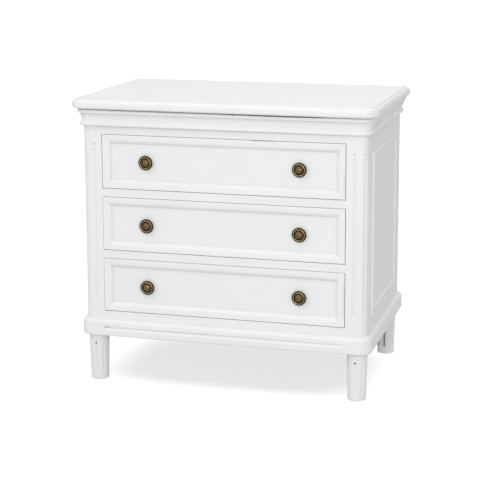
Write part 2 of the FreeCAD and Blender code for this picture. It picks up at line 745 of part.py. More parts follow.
def drawer_side(level):
    """Right-hand side, with its dovetails and the groove for the bottom."""
    bottom = OPENING_BOTTOM[level] + RUNNING
    y = (FRONT_BACK_FACE, DRAWER_REAR)
    side = box((DRAWER_INSIDE, DRAWER_HALF), y, (bottom, bottom + DRAWER_SIDE_HEIGHT))
    groove_x = (DRAWER_INSIDE - OVERCUT, DRAWER_INSIDE + DRAWER_GROOVE)
    side = side.cut(box(groove_x, grown(y, OVERCUT), drawer_bottom_z(level, FIT)))
    return side.fuse(dovetails(bottom)).removeSplitter()


def drawer_back(level):
    """Back between the sides, standing on the bottom."""
    top = OPENING_BOTTOM[level] + RUNNING + DRAWER_SIDE_HEIGHT - DRAWER_BACK_DROP
    y = (DRAWER_REAR - DRAWER_SIDE_THICKNESS, DRAWER_REAR)
    return box((-DRAWER_INSIDE, DRAWER_INSIDE), y, (drawer_bottom_z(level)[1], top))


def drawer_bottom(level):
    """Thin bottom in the grooves of the sides and the front, running out under the back."""
    reach = DRAWER_GROOVE - FIT
    half = DRAWER_INSIDE + reach
    z = drawer_bottom_z(level)
    panel = box((-half, half), (FRONT_BACK_FACE + FIT, DRAWER_REAR), z)
    lip_half = DRAWER_INSIDE - FIT
    lip = box((-lip_half, lip_half), (FRONT_BACK_FACE - reach, FRONT_BACK_FACE + FIT), z)
    return panel.fuse(lip).removeSplitter()


def drawer(level):
    side = drawer_side(level)
    places = knob_places(level)
    pieces = {
        "front": drawer_front(level),
        "side_left": mirrored(side),
        "side_right": side,
        "back": drawer_back(level),
        "bottom": drawer_bottom(level),
        "knobs": Part.makeCompound([knob(place) for place in places]),
        "knob_screws": Part.makeCompound([screw(place) for place in places]),
    }
    return {f"drawer_{level}_{name}": shape for name, shape in pieces.items()}


# The whole nightstand


def in_pair(name, right):
    """A right-hand piece and its mirror image on the left."""
    return {f"{name}_left": mirrored(right), f"{name}_right": right}


def nightstand():
    front_y, back_y = post_centres_y()
    crosspieces, uprights = side_frame()
    nodes = {
        "top_board": top_board(),
        "cornice_front": front_run(cornice_section(), CASE_OUTLINE),
        "base_front": base_front(),
        "bottom_panel": bottom_panel(),
        "back_panel": back_panel(),
        "drawer_stops": drawer_stops(),
        "top_cleats": top_cleats(),
        "leg_bolts": leg_bolts(),
    }
    nodes.update({name: tenoned_rail(rail) for name, rail in RAILS.items()})
    nodes["front_apron"] = front_apron()
    nodes["back_bottom_rail"] = back_bottom_rail()
    nodes.update(in_pair("cornice", side_run(cornice_section(), CASE_OUTLINE)))
    nodes.update(in_pair("base", base_side()))
    nodes.update(in_pair("post_front", front_post()))
    nodes.update(in_pair("post_back", back_post()))
    nodes.update(in_pair("leg_front", leg(front_y)))
    nodes.update(in_pair("leg_back", leg(back_y)))
    nodes.update(in_pair("side_panel", side_panel()))
    nodes.update(in_pair("side_moulding_crosspieces", crosspieces))
    nodes.update(in_pair("side_moulding_uprights", uprights))
    for level in LEVELS:
        nodes.update(in_pair(f"runner_{level}", runner(level)))
        nodes.update(drawer(level))
    return nodes


def export(nodes):
    os.makedirs("parts", exist_ok=True)
    for name, shape in nodes.items():
        shape.exportStep(f"parts/{name}.step")


export(nightstand())
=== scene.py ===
import math
from collections import namedtuple

import bmesh
import bpy
import numpy as np
from bpy.props import FloatProperty, FloatVectorProperty, IntProperty, PointerProperty
from mathutils import Matrix, Vector


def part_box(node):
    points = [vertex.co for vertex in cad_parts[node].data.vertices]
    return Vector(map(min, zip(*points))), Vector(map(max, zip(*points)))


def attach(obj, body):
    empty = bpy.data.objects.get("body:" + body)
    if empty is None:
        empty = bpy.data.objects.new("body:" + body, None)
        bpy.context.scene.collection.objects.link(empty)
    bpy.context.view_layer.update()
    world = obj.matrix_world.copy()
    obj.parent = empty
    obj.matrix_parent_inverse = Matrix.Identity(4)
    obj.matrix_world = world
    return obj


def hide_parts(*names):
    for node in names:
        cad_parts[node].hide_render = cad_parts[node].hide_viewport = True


bl_info = {
    "name": "Painted Nightstand",
    "version": (1, 0, 0),
    "blender": (4, 5, 0),
    "location": "View3D > Sidebar > Nightstand",
    "description": "Finishes a nightstand: painted mouldings, fluted legs, brass knobs, bare drawers",
    "category": "Object",
}

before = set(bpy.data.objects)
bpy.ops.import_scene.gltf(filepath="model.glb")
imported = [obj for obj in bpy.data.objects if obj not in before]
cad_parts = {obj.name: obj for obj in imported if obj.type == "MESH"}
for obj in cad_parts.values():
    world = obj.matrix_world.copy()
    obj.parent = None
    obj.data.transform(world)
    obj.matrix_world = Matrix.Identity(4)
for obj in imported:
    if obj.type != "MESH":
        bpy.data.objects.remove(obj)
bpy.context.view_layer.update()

SIDES = {"left": -1, "right": 1}
LEVELS = ("bottom", "middle", "top")

# Stroke directions of the brush, as the axis that a stroke runs along
ACROSS = (1, 0, 0)
DEEPWISE = (0, 1, 0)
UPRIGHT = (0, 0, 1)

# Marks per metre, along and across the brush's stroke or the grain
BRUSH_MARKS = (7.0, 330.0)
STAIN_MARKS = (12.0, 500.0)
SOFTWOOD_MARKS = (9.0, 300.0)

# Colour towards which the paint's hollows are darkened: partly dirt, partly painted shade in the creases
HOLLOW_DIRT_AND_SHADE = (0.30, 0.27, 0.24, 1)

# How much of the wood shows through the thin coat on a drawer front's edges
THIN_COAT = 0.35

# Between these angles round the back right leg, its flutes are stained
STAINED_FLUTES = (math.radians(210), math.radians(285))

# How bright the knobs' domes are rubbed, where their beads are 1, and the rubbed share of both
DOME_POLISH = 0.36
RUBBED_SHARE = 0.9

# Corners sharper than the first are rounded, and edges sharper than the second are shaded sharp
ROUNDED_FROM = math.radians(20)
SHARP_FROM = math.radians(32)

# Radius that a bend is measured against, distance over which its mark is evened out, and the
# mark's strength
BEND_RADIUS = 0.0015
BEND_REACH = 0.002
BEND_GAIN = 1.6

# Shares of the paint's softness that the cornice's and the side frames' corners get
CORNICE_SOFTNESS = 0.7
FRAME_SOFTNESS = 0.6

# Share of the neck's hollow by which its foot stands off the fillet
NECK_START = 0.3

# How far the side frames' section starts behind the panel's face, before it is cut off there
FRAME_FOOT = -0.001

# Height of the wall at the groove's upper edge, stations below and above that edge, where the
# even stations stop under it, and how far stations run past the groove
WALL_HEIGHT = 0.0005
WALL_STATIONS = (0.0005, 0.0003, 0.0001, 0.0, -0.0004, -0.0012)
WALL_FOOT = 0.0006
GROOVE_MARGIN = 0.001

# How far stations start before the end of a groove or a flute
END_MARGIN = 0.002

# Easing of a flute's edges
FLUTE_EASING = 0.0003

# Stations over a flute and over a dimple, in radii from the centre
FLUTE_SPAN = 1.3
DIMPLE_SPAN = 1.2

# How soon a dimple's darkening with the stain colour reaches full strength, in its depth over its radius
DIMPLE_DARKENING = 1.4

# Stations along each side of a drawer front, and the width of the field next to its sticking
FRONT_STATIONS = (-1, -0.985, -0.5, 0, 0.5, 0.985)
FIELD_MARGIN = 0.008

# Small hole at a knob's axis, and the radius of its corners
AXIS_HOLE = 0.0002
KNOB_SOFTNESS = 0.0005

# Stations round an eighth of a turn at a mitred corner
ARC_STEPS = 14

# How far a quarter circle of radius 1 stands off its chord
QUARTER_BULGE = 1 - math.sqrt(0.5)

# Width of a softbox in metres, and of the photograph in pixels
SOFTBOX_WIDTH = 1.4
PHOTO_WIDTH = 480


# Sizes and colours that a user may change


def length(name, description, default):
    return FloatProperty(name=name, description=description, default=default, unit="LENGTH")


def wattage(name, description, default):
    return FloatProperty(name=name, description=description, default=default, unit="POWER")


def turned_by(name, description, degrees):
    return FloatProperty(
        name=name, description=description, default=math.radians(degrees), subtype="ANGLE"
    )


def swatch(name, description, default):
    return FloatVectorProperty(
        name=name, description=description, default=default, subtype="COLOR", min=0, max=1
    )


class MouldingSizes(bpy.types.PropertyGroup):
    nose_lower: length("Nose lower round", "Radius of the top board's lower round", 0.0055)
    nose_upper: length("Nose upper round", "Radius of the top board's upper round", 0.010)
    nose_step: length(
        "Nose step", "Height of the small step between the upper round and the flat top", 0.0015
    )
    top_corner: length("Top corner", "Radius of the top board's front corners", 0.035)
    post_corner: length("Post corner", "Radius of the front posts' outer corners", 0.019)
    cornice_fillet: length(
        "Cornice fillet", "How far the lower bead's base stands off the case", 0.0047
    )
    bead_flat: length("Bead flat", "Width of the flat under the lower bead", 0.0025)
    lower_bead: length("Lower bead", "Radius of the cornice's lower bead", 0.005)
    flare: length("Flare", "Height over which the lower bead runs into the neck", 0.011)
    side_flare: length(
        "Side flare", "The same height at the sides, where the bead stands clearer", 0.0075
    )
    neck_height: length("Neck height", "Height of the hollow between the beads", 0.020)
    neck_hollow: length("Neck hollow", "How deep the neck is hollowed", 0.0009)
    neck_out: length("Neck top", "How far the neck's upper end stands off the case", 0.0075)
    upper_bead: length("Upper bead", "Radius of the cornice's upper bead", 0.0056)
    upper_bead_out: length(
        "Upper bead centre", "How far the upper bead's centre stands off the case", 0.0096
    )
    quirk_out: length("Quirk", "How far the quirk above the upper bead stands off the case", 0.008)
    side_fill: length(
        "Side fill", "How far the sides' cornice stands off at the top, where paint fills it", 0.018
    )
    base_easing: length("Base easing", "Radius of the base moulding's lower edge", 0.0025)
    groove_top: length(
        "Groove height", "Height of the groove's upper edge above the moulding's foot", 0.024
    )
    groove_width: length("Groove width", "Width of the stopped groove", 0.009)
    groove_depth: length("Groove depth", "Depth of the stopped groove", 0.0033)
    groove_from_corner: length(
        "Groove from corner", "Distance from the case's front corner to the groove", 0.054
    )
    groove_from_back: length("Groove from back", "Distance from the back to the side groove", 0.062)
    frame_width: length("Side frame width", "Width of the side panels' applied moulding", 0.017)
    frame_edge: length("Side frame edge", "Height of that moulding's edges", 0.0008)
    frame_slope: length(
        "Side frame slope", "Width over which that moulding rises from its outer edge", 0.0075
    )
    frame_ridge: length("Side frame ridge", "Width of that moulding's ridge", 0.0065)


class FluteSizes(bpy.types.PropertyGroup):
    post_cutter: length("Post cutter", "Radius of the cutter of the posts' flutes", 0.0055)
    post_depth: length("Post flute depth", "Depth of the posts' flutes", 0.0019)
    post_from_corner: length(
        "Post flute place", "Distance from the case's side to the front flute", 0.031
    )
    post_above_base: length(
        "Flute above base", "Height of the flutes' lower ends above the base moulding", 0.045
    )
    post_below_cornice: length(
        "Flute below cornice", "Distance of the flutes' upper ends from the cornice", 0.0555
    )
    post_dimple: length("Post dimple", "Radius of the drilled dimples over the flutes", 0.0035)
    post_dimple_rise: length("Dimple over flute", "Distance of a dimple over its flute", 0.0095)
    leg_foot: length("Leg foot", "Diameter of the legs at the floor", 0.0445)
    leg_easing: length("Foot easing", "Radius of the feet's lower edge", 0.002)
    leg_flutes: IntProperty(name="Leg flutes", description="Flutes round each leg", default=8)
    leg_cutter: length("Leg cutter", "Radius of the cutter of the legs' flutes", 0.004)
    leg_depth: length("Leg flute depth", "Depth of the legs' flutes", 0.0018)
    leg_bottom: length("Leg flute foot", "Height of the legs' flutes above the floor", 0.019)
    leg_length: length("Leg flute length", "Length of the legs' flutes", 0.070)
    leg_dimple: length("Leg dimple", "Radius of the dimples over every second flute", 0.0028)
    leg_dimple_rise: length(
        "Leg dimple over flute", "Distance of a leg's dimple over its flute", 0.007
    )


class DrawerSizes(bpy.types.PropertyGroup):
    gap_fill: length("Gap fill", "How far the paint closes the gap round each drawer front", 0.0004)
    left_fill: length(
        "Left gap fill", "How far it closes the left gap of the two lower drawers", 0.0011
    )
    border: length("Border", "Width of the flat border round the sunk field", 0.0125)
    sticking_width: length("Sticking width", "Width of the round between border and field", 0.009)
    sticking_depth: length("Sticking depth", "Depth of that round", 0.0057)
    sticking_round: length("Sticking round", "How far the round stands off its chord", 0.0011)
    field_depth: length("Field depth", "Depth of the sunk field", 0.0065)
    edge_paint: length(
        "Paint on the edges", "How far the paint runs over a drawer front's edges", 0.002
    )
    knob_foot: length("Knob foot", "Radius of a knob's foot on the field", 0.009)
    knob_neck: length("Knob neck", "Radius of a knob's neck", 0.0075)
    knob_neck_length: length("Knob neck length", "Length of a knob's neck", 0.003)
    knob_flare: length(
        "Knob flare", "How deep the underside between neck and rim is hollowed", 0.001
    )
    knob_rim: length("Knob rim", "Distance of the rim from the field", 0.006)
    knob_rim_edge: length("Knob rim edge", "Thickness of the rim's edge", 0.0012)
    knob_bead_place: length("Knob bead place", "Radius of the raised bead's circle", 0.0135)
    knob_bead: length("Knob bead", "Radius of the bead itself", 0.0015)
    knob_bead_rise: length("Knob bead rise", "How far the bead's middle stands off the rim", 0.002)
    knob_dome: length("Knob dome", "Radius of the domed centre", 0.0109)


class FinishSettings(bpy.types.PropertyGroup):
    paint: swatch("Paint", "Colour of the white paint", (0.728, 0.738, 0.733))
    undercoat: swatch("Undercoat", "Colour where the paint is thin", (0.62, 0.57, 0.49))
    stain: swatch("Worn wood", "Colour of the stained wood at rubbed places", (0.16, 0.075, 0.035))
    bare_wood: swatch("Bare wood", "Colour of the unpainted softwood", (0.58, 0.38, 0.20))
    brass_dark: swatch("Aged brass", "Colour of the brass in its hollows", (0.024, 0.012, 0.005))
    brass_light: swatch(
        "Rubbed brass", "Colour of the brass on its raised places", (0.36, 0.25, 0.125)
    )
    wear: FloatProperty(
        name="Wear", description="How much of the paint's edges is rubbed", default=1.0, min=0, max=2,
    )
    edge_softness: length("Paint softness", "Radius of the paint on sharp edges", 0.0011)


class StudioSettings(bpy.types.PropertyGroup):
    camera_place: FloatVectorProperty(
        name="Camera", description="Where the camera stands", subtype="TRANSLATION",
        default=(0.9621, -3.4157, 1.1429),
    )
    camera_yaw: turned_by("Yaw", "How far the camera turns to its left", 15.04)
    camera_pitch: turned_by("Pitch", "How far the camera looks down", 9.75)
    camera_roll: turned_by("Roll", "How far the camera leans", -0.065)
    focal_pixels: FloatProperty(
        name="Focal length", description="Focal length in pixels of the photograph", default=1418.8,
    )
    centre_x: FloatProperty(
        name="Centre right", description="Pixels from the photograph's middle to its optical centre",
        default=21.9,
    )
    centre_y: FloatProperty(
        name="Centre up", description="Pixels from the photograph's middle up to its optical centre",
        default=77.0,
    )
    left_light: wattage("Left light", "Power of the high softbox on the left", 13.2)
    front_light: wattage("Front light", "Power of the softbox beside the camera", 36.0)
    overhead_light: wattage("Overhead light", "Power of the overhead softbox", 7.7)
    overhead_tint: swatch("Overhead tint", "Colour of the overhead softbox", (0.95, 0.94, 1.0))
    back_light: wattage("Back light", "Power of the high softbox behind", 7.0)
    sky: FloatProperty(
        name="Room light", description="Strength of the even light of the room", default=0.885,
    )
    # Glow of the floor under the case, where it is lowered as a painted shadow
    floor_glow: FloatProperty(
        name="Floor glow", description="Strength of the light from below the floor", default=0.69,
    )
    floor_cast: FloatProperty(
        name="Floor cast", description="Share of the floor's glow that falls on the piece", default=0.44,
    )


MAKER_GROUPS = {
    "nightstand_mouldings": MouldingSizes,
    "nightstand_flutes": FluteSizes,
    "nightstand_drawers": DrawerSizes,
    "nightstand_finish": FinishSettings,
    "nightstand_studio": StudioSettings,
}


# Surfaces as arrays: points, four-sided faces, and flat caps of many corners

Surface = namedtuple("Surface", "points quads caps")
Outline = namedtuple("Outline", "half front back radius")
Path = namedtuple("Path", "base outward along")


def numbered(points):
    """Corner numbers of a rows by columns array of points."""
    return np.arange(points.shape[0] * points.shape[1]).reshape(points.shape[:2])


def grid(points, wrap_rows=False, wrap_columns=False):
    """Faces between neighbours of an array of points; wrapping joins the last to the first."""
    index = numbered(points)
    if wrap_columns:
        index = np.hstack([index, index[:, :1]])
    if wrap_rows:
        index = np.vstack([index, index[:1]])
    corners = (index[:-1, :-1], index[:-1, 1:], index[1:, 1:], index[1:, :-1])
    return Surface(points.reshape(-1, 3), np.stack(corners, axis=-1).reshape(-1, 4), [])


def tube(points):
    """Grid whose columns wrap, closed at its first and its last row."""
    index = numbered(points)
    return grid(points, wrap_columns=True)._replace(caps=[index[0], index[-1]])


def joined(surfaces):
    """Several surfaces as one, each one's corner numbers moved past those before it."""
    starts = np.cumsum([0] + [len(s.points) for s in surfaces[:-1]])
    points = np.concatenate([s.points for s in surfaces])
    quads = np.concatenate([s.quads + start for s, start in zip(surfaces, starts)])
    caps = [cap + start for s, start in zip(surfaces, starts) for cap in s.caps]
    return Surface(points, quads, caps)


def mirrored(surface, side):
    """The surface on the given side: x changes sign on the left."""
    return surface._replace(points=surface.points * np.array([side, 1, 1]))


def moved(surface, *offset):
    return surface._replace(points=surface.points + np.array(offset))


def softened(profile, radius, steps=4):
    """Profile whose sharper corners become short curves, with a support point on both sides.

    A corner P between neighbours A and B becomes the quadratic curve from P + r towards A,
    pulled by P, to P + r towards B, where r is the radius or 0.4 of the shorter neighbour side."""
    before = np.roll(profile, 1, axis=0) - profile
    after = np.roll(profile, -1, axis=0) - profile
    to_before = np.linalg.norm(before, axis=1, keepdims=True)
    to_after = np.linalg.norm(after, axis=1, keepdims=True)
    before = before / to_before
    after = after / to_after
    reach = np.minimum(radius, 0.4 * np.minimum(to_before, to_after))
    support = np.minimum(3 * radius, 0.45 * np.minimum(to_before, to_after))
    start = profile + before * reach
    end = profile + after * reach
    t = np.linspace(0, 1, steps + 1)[None, :, None]
    curve = (1 - t) ** 2 * start[:, None] + 2 * t * (1 - t) * profile[:, None] + t**2 * end[:, None]
    outer = [(profile + before * support)[:, None], curve, (profile + after * support)[:, None]]
    curve = np.concatenate(outer, axis=1)
    turn = np.arccos(np.clip((-before * after).sum(1), -1, 1))
    sharp = turn > ROUNDED_FROM
    sharp[[0, -1]] = False
    curve[~sharp] = profile[~sharp][:, None]
    keep = sharp[:, None] | (np.arange(curve.shape[1]) == 0)
    return curve[keep]


def bowed(start, end, bulge, steps=12):
    """Points of an arc from start to end, without the start, that stands off its chord by the
    bulge, to the right of the way along it.

    Radius = half chord squared plus bulge squared, over twice the bulge."""
    start = np.array(start, float)
    end = np.array(end, float)
    chord = end - start
    half = np.linalg.norm(chord) / 2
    right = np.array([chord[1], -chord[0]]) / (2 * half)
    radius = (half**2 + bulge**2) / (2 * bulge)
    sweep = np.arcsin(np.clip(half / radius, -1, 1))
    if abs(bulge) > half:
        sweep = np.sign(bulge) * math.pi - sweep
    angle = np.linspace(-sweep, sweep, steps + 1)[1:, None]
    centre = (start + end) / 2 + right * (bulge - radius)
    return centre + radius * (np.cos(angle) * right + np.sin(angle) * chord / (2 * half))


def profile_of(*stretches):
    """One profile from points and runs of points."""
    return np.concatenate([np.atleast_2d(np.array(stretch, float)) for stretch in stretches])


def swept(path, out, height):
    """Profile carried along a path: base plus outward times out, at the profile's heights."""
    out = np.broadcast_to(out, (len(path.base), len(height)))
    flat = path.base[:, None] + path.outward[:, None] * out[..., None]
    z = np.broadcast_to(height, out.shape)
    return np.concatenate([flat, z[..., None]], axis=-1)


def corner_arc(outline, side, first, last, steps=ARC_STEPS):
    """Stations round a front corner: its centre plus the radius times the outward direction."""
    angle = np.radians(np.linspace(first, last, steps))
    outward = np.stack([np.cos(angle), np.sin(angle)], axis=1)
    centre = np.array([side * (outline.half - outline.radius), outline.front + outline.radius])
    return Path(centre + outline.radius * outward, outward, np.full(steps, np.inf))


def straight(bases, outward, along):
    """Stations along a flat face, all with one outward direction."""
    return Path(np.array(bases), np.tile(np.array(outward, float), (len(bases), 1)), np.array(along))


def chained(*paths):
    return Path(*(np.concatenate(parts) for parts in zip(*paths)))


def front_path(outline, xs):
    """Across the front, from mitre to mitre, with stations at the given places."""
    bases = np.stack([xs, np.full_like(xs, outline.front)], axis=1)
    middle = straight(bases, (0, -1), np.abs(xs))
    return chained(corner_arc(outline, -1, 225, 270), middle, corner_arc(outline, 1, 270, 315))


def side_path(outline, ys):
    """Along the right-hand side, from the mitre to the back, with stations at the given places."""
    stops = np.append(ys, outline.back)
    bases = np.stack([np.full_like(stops, outline.half), stops], axis=1)
    middle = (ys.min() + ys.max()) / 2 if len(ys) else 0
    return chained(corner_arc(outline, 1, 315, 360), straight(bases, (1, 0), np.abs(stops - middle)))


def swept_piece(path, out, height):
    """Profile carried along a path and closed at both ends; the profile is closed on itself."""
    return tube(swept(path, out, height))


# Meshes, and where they are worn or their hollows darkened


def bend_marks(points, normals, edges, passes=2):
    """How sharply each point of a mesh is bent, convex and hollow, from 0 to 1.

    Bend = the sum of each neighbour's rise over its distance, against the point's normal, over
    the nearest one's distance. It is then evened out along the edges."""
    first, second = edges.T
    step = points[second] - points[first]
    distance = np.maximum(np.linalg.norm(step, axis=1), 1e-7)
    total = np.zeros(len(points))
    nearest = np.full(len(points), np.inf)
    np.add.at(total, first, (step * normals[first]).sum(1) / distance)
    np.add.at(total, second, -(step * normals[second]).sum(1) / distance)
    np.minimum.at(nearest, first, distance)
    np.minimum.at(nearest, second, distance)
    bend = np.clip(total / nearest * BEND_RADIUS, -1, 1)
    weight = 1 / (1 + (distance / BEND_REACH) ** 2)
    for _ in range(passes):
        evened = bend.copy()
        count = np.ones(len(points))
        np.add.at(evened, first, weight * bend[second])
        np.add.at(evened, second, weight * bend[first])
        np.add.at(count, first, weight)
        np.add.at(count, second, weight)
        bend = evened / count
    return np.clip(-bend * BEND_GAIN, 0, 1), np.clip(bend * BEND_GAIN, 0, 1)


def mesh_bends(mesh):
    """The convex and hollow marks of a mesh, under the names edge and hollow."""
    points = np.empty(len(mesh.vertices) * 3)
    normals = np.empty(len(mesh.vertices) * 3)
    edges = np.empty(len(mesh.edges) * 2, int)
    mesh.vertices.foreach_get("co", points)
    mesh.vertices.foreach_get("normal", normals)
    mesh.edges.foreach_get("vertices", edges)
    marks = bend_marks(points.reshape(-1, 3), normals.reshape(-1, 3), edges.reshape(-1, 2))
    return dict(zip(("edge", "hollow"), marks))


def placed_object(name, data):
    """Object with the given data, linked to the scene."""
    item = bpy.data.objects.new(name, data)
    bpy.context.scene.collection.objects.link(item)
    return item


def make_piece(name, surface, nodes, material, body="case", marks=None):
    """Mesh object from a surface, facing outwards, with its marks for worn edges and darkened hollows,
    riding on its body.

    Marks holds further point attributes by name, as values from 0 to 1."""
    mesh = bpy.data.meshes.new(name)
    faces = surface.quads.tolist() + [cap.tolist() for cap in surface.caps]
    mesh.from_pydata(surface.points.tolist(), [], faces)
    shell = bmesh.new()
    shell.from_mesh(mesh)
    bmesh.ops.recalc_face_normals(shell, faces=shell.faces)
    shell.to_mesh(mesh)
    shell.free()
    mesh.polygons.foreach_set("use_smooth", np.ones(len(mesh.polygons), bool))
    mesh.set_sharp_from_angle(angle=SHARP_FROM)
    for label, values in {**mesh_bends(mesh), **(marks or {})}.items():
        attribute = mesh.attributes.new(label, "FLOAT", "POINT")
        attribute.data.foreach_set("value", np.ravel(values))
    piece = placed_object(name, mesh)
    mesh.materials.append(bpy.data.materials[material])
    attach(piece, body)
    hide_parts(*nodes)


def make_sides(name, surface, nodes, material):
    """A piece of the case on the left and on the right, each in place of its side's nodes."""
    for side, sign in SIDES.items():
        own_nodes = [f"{node}_{side}" for node in nodes]
        make_piece(f"{name}_{side}", mirrored(surface, sign), own_nodes, material)


# Places worked out from the frame


def node_box(name):
    low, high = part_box(name)
    return np.array(low), np.array(high)


def case_outline():
    """Plan of the case: its half width, front and back faces, and its front corners' radius."""
    low, high = node_box("post_front_right")
    radius = bpy.context.scene.nightstand_mouldings.post_corner
    back = node_box("post_back_right")[1][1]
    return Outline(high[0], low[1], back, radius)


# Node helpers for the materials


def feed(tree, node, inputs):
    """Links each named or numbered socket of a node to another socket, or sets its value."""
    for key, value in inputs.items():
        if isinstance(value, bpy.types.NodeSocket):
            tree.links.new(value, node.inputs[key])
        else:
            node.inputs[key].default_value = value
    return node


def add(tree, kind, inputs=None, **settings):
    """A node with its settings, and its sockets either linked or set."""
    node = tree.nodes.new(kind)
    for key, value in settings.items():
        setattr(node, key, value)
    return feed(tree, node, inputs or {})


def math_node(tree, operation, *values, clamp=False):
    inputs = dict(enumerate(values))
    return add(tree, "ShaderNodeMath", inputs, operation=operation, use_clamp=clamp).outputs[0]


def vector_node(tree, operation, *values):
    return add(tree, "ShaderNodeVectorMath", dict(enumerate(values)), operation=operation)


def spread(tree, value, low, high, to_low=0.0, to_high=1.0):
    """Value carried from one range to another, smooth at both ends and held there."""
    sockets = {"Value": value, "From Min": low, "From Max": high, "To Min": to_low, "To Max": to_high}
    node = add(tree, "ShaderNodeMapRange", sockets, interpolation_type="SMOOTHSTEP")
    return node.outputs["Result"]


def mixed(tree, factor, first, second):
    """Colour between two; of the node's sockets, those of its kind of value are enabled."""
    node = add(tree, "ShaderNodeMix", data_type="RGBA")
    enabled = {s.name: number for number, s in enumerate(node.inputs) if s.enabled}
    feed(tree, node, {enabled["Factor"]: factor, enabled["A"]: first, enabled["B"]: second})
    return next(s for s in node.outputs if s.enabled)


def noise(tree, vector, scale, detail, roughness):
    sockets = {"Vector": vector, "Scale": scale, "Detail": detail, "Roughness": roughness}
    return add(tree, "ShaderNodeTexNoise", sockets).outputs["Fac"]


def coordinates(tree):
    return add(tree, "ShaderNodeTexCoord").outputs["Object"]


def point_mark(tree, name):
    return add(tree, "ShaderNodeAttribute", attribute_name=name).outputs["Fac"]


def bumped(tree, height, strength, distance):
    sockets = {"Height": height, "Strength": strength, "Distance": distance}
    return add(tree, "ShaderNodeBump", sockets).outputs["Normal"]


def new_group(name, inputs, outputs):
    """Shader node group with the named kinds of sockets, and its input and output nodes."""
    tree = bpy.data.node_groups.new(name, "ShaderNodeTree")
    for way, sockets in (("INPUT", inputs), ("OUTPUT", outputs)):
        for label, kind in sockets.items():
            tree.interface.new_socket(label, in_out=way, socket_type=f"NodeSocket{kind}")
    return tree, tree.nodes.new("NodeGroupInput"), tree.nodes.new("NodeGroupOutput")


def placed_group(tree, name, inputs):
    return add(tree, "ShaderNodeGroup", inputs, node_tree=bpy.data.node_groups[name])


def colour(values):
    return (*values, 1.0)


# Effects shared by the finishes


def stroke_group():
    """Brush strokes: fine bristle lines and broad laps, both long along the stroke.

    Stretch holds how many marks a metre holds along each axis."""
    tree, given, result = new_group(
        "Brush strokes", {"Stretch": "Vector"}, {"Tone": "Float", "Height": "Float"}
    )
    place = coordinates(tree)
    stretched = vector_node(tree, "MULTIPLY", place, given.outputs["Stretch"]).outputs[0]
    bristles = noise(tree, stretched, 1.0, 5.0, 0.6)
    laps = noise(tree, stretched, 0.16, 3.0, 0.5)
    cloudy = noise(tree, place, 9.0, 3.0, 0.5)
    fine = math_node(tree, "MULTIPLY", bristles, 0.55)
    broad = math_node(tree, "MULTIPLY_ADD", laps, 0.35, fine)
    tone = math_node(tree, "MULTIPLY_ADD", cloudy, 0.25, broad)
    height = math_node(tree, "MULTIPLY_ADD", laps, 0.5, bristles)
    feed(tree, result, {"Tone": tone, "Height": height})


def grain_group():
    """Wood grain: long fibres and broader growth bands along the grain."""
    tree, given, result = new_group(
        "Wood grain",
        {"Stretch": "Vector", "Light": "Color", "Dark": "Color"},
        {"Colour": "Color", "Height": "Float"},
    )
    stretched = vector_node(tree, "MULTIPLY", coordinates(tree), given.outputs["Stretch"]).outputs[0]
    bend = noise(tree, stretched, 0.05, 2.0, 0.5)
    bands = math_node(tree, "SINE", math_node(tree, "MULTIPLY", bend, 70.0))
    fibres = noise(tree, stretched, 1.0, 6.0, 0.65)
    bands = math_node(tree, "MULTIPLY_ADD", bands, 0.28, 0.35)
    amount = math_node(tree, "MULTIPLY_ADD", fibres, 0.45, bands, clamp=True)
    shade = mixed(tree, amount, given.outputs["Light"], given.outputs["Dark"])
    feed(tree, result, {"Colour": shade, "Height": fibres})


def rubbed_group():
    """Rubbed places: where the edge mark plus an uneven noise pass a threshold."""
    tree, given, result = new_group(
        "Rubbed edges",
        {"Edge": "Float", "Amount": "Float", "Threshold": "Float", "Size": "Float"},
        {"Mask": "Float"},
    )
    place = coordinates(tree)
    patches = noise(tree, place, given.outputs["Size"], 3.0, 0.6)
    scratches = noise(tree, place, 420.0, 2.0, 0.6)
    uneven = math_node(tree, "MULTIPLY_ADD", scratches, 0.35, patches)
    edge = math_node(tree, "MULTIPLY", given.outputs["Edge"], given.outputs["Amount"])
    total = math_node(tree, "ADD", uneven, edge)
    high = math_node(tree, "ADD", given.outputs["Threshold"], 0.16)
    feed(tree, result, {"Mask": spread(tree, total, given.outputs["Threshold"], high)})


def spot_group():
    """One spot of wear or painted shade: full at its centre, fading to nothing at its half sizes, broken
    up by noise.
    """
    tree, given, result = new_group(
        "Worn or shaded spot", {"Centre": "Vector", "Half sizes": "Vector"}, {"Mask": "Float"}
    )
    place = coordinates(tree)
    away = vector_node(tree, "SUBTRACT", place, given.outputs["Centre"]).outputs[0]
    scaled = vector_node(tree, "DIVIDE", away, given.outputs["Half sizes"]).outputs[0]
    distance = vector_node(tree, "LENGTH", scaled).outputs["Value"]
    broken = noise(tree, place, 250.0, 3.0, 0.6)
    inside = math_node(tree, "SUBTRACT", 0.45, distance)
    reach = math_node(tree, "MULTIPLY_ADD", broken, 1.1, inside)
    feed(tree, result, {"Mask": spread(tree, reach, 0.0, 0.35)})


# Finishes


def new_material(name):
    """Node tree and shader of a new material."""
    material = bpy.data.materials.new(name)
    material.use_nodes = True
    return material.node_tree, material.node_tree.nodes["Principled BSDF"]


def marks_per_metre(stroke, along, across):
    return tuple(along if axis else across for axis in stroke)


def grained(tree, stroke, marks, light, darkening):
    """Wood grain along the stroke; its dark lines have the given share of its light colour."""
    return placed_group(tree, "Wood grain", {
        "Stretch": marks_per_metre(stroke, *marks),
        "Light": colour(light),
        "Dark": colour(value * darkening for value in light),
    })


def rubbed(tree, amount, threshold, size):
    sockets = {"Edge": point_mark(tree, "edge"), "Amount": amount, "Threshold": threshold, "Size": size}
    return placed_group(tree, "Rubbed edges", sockets).outputs["Mask"]


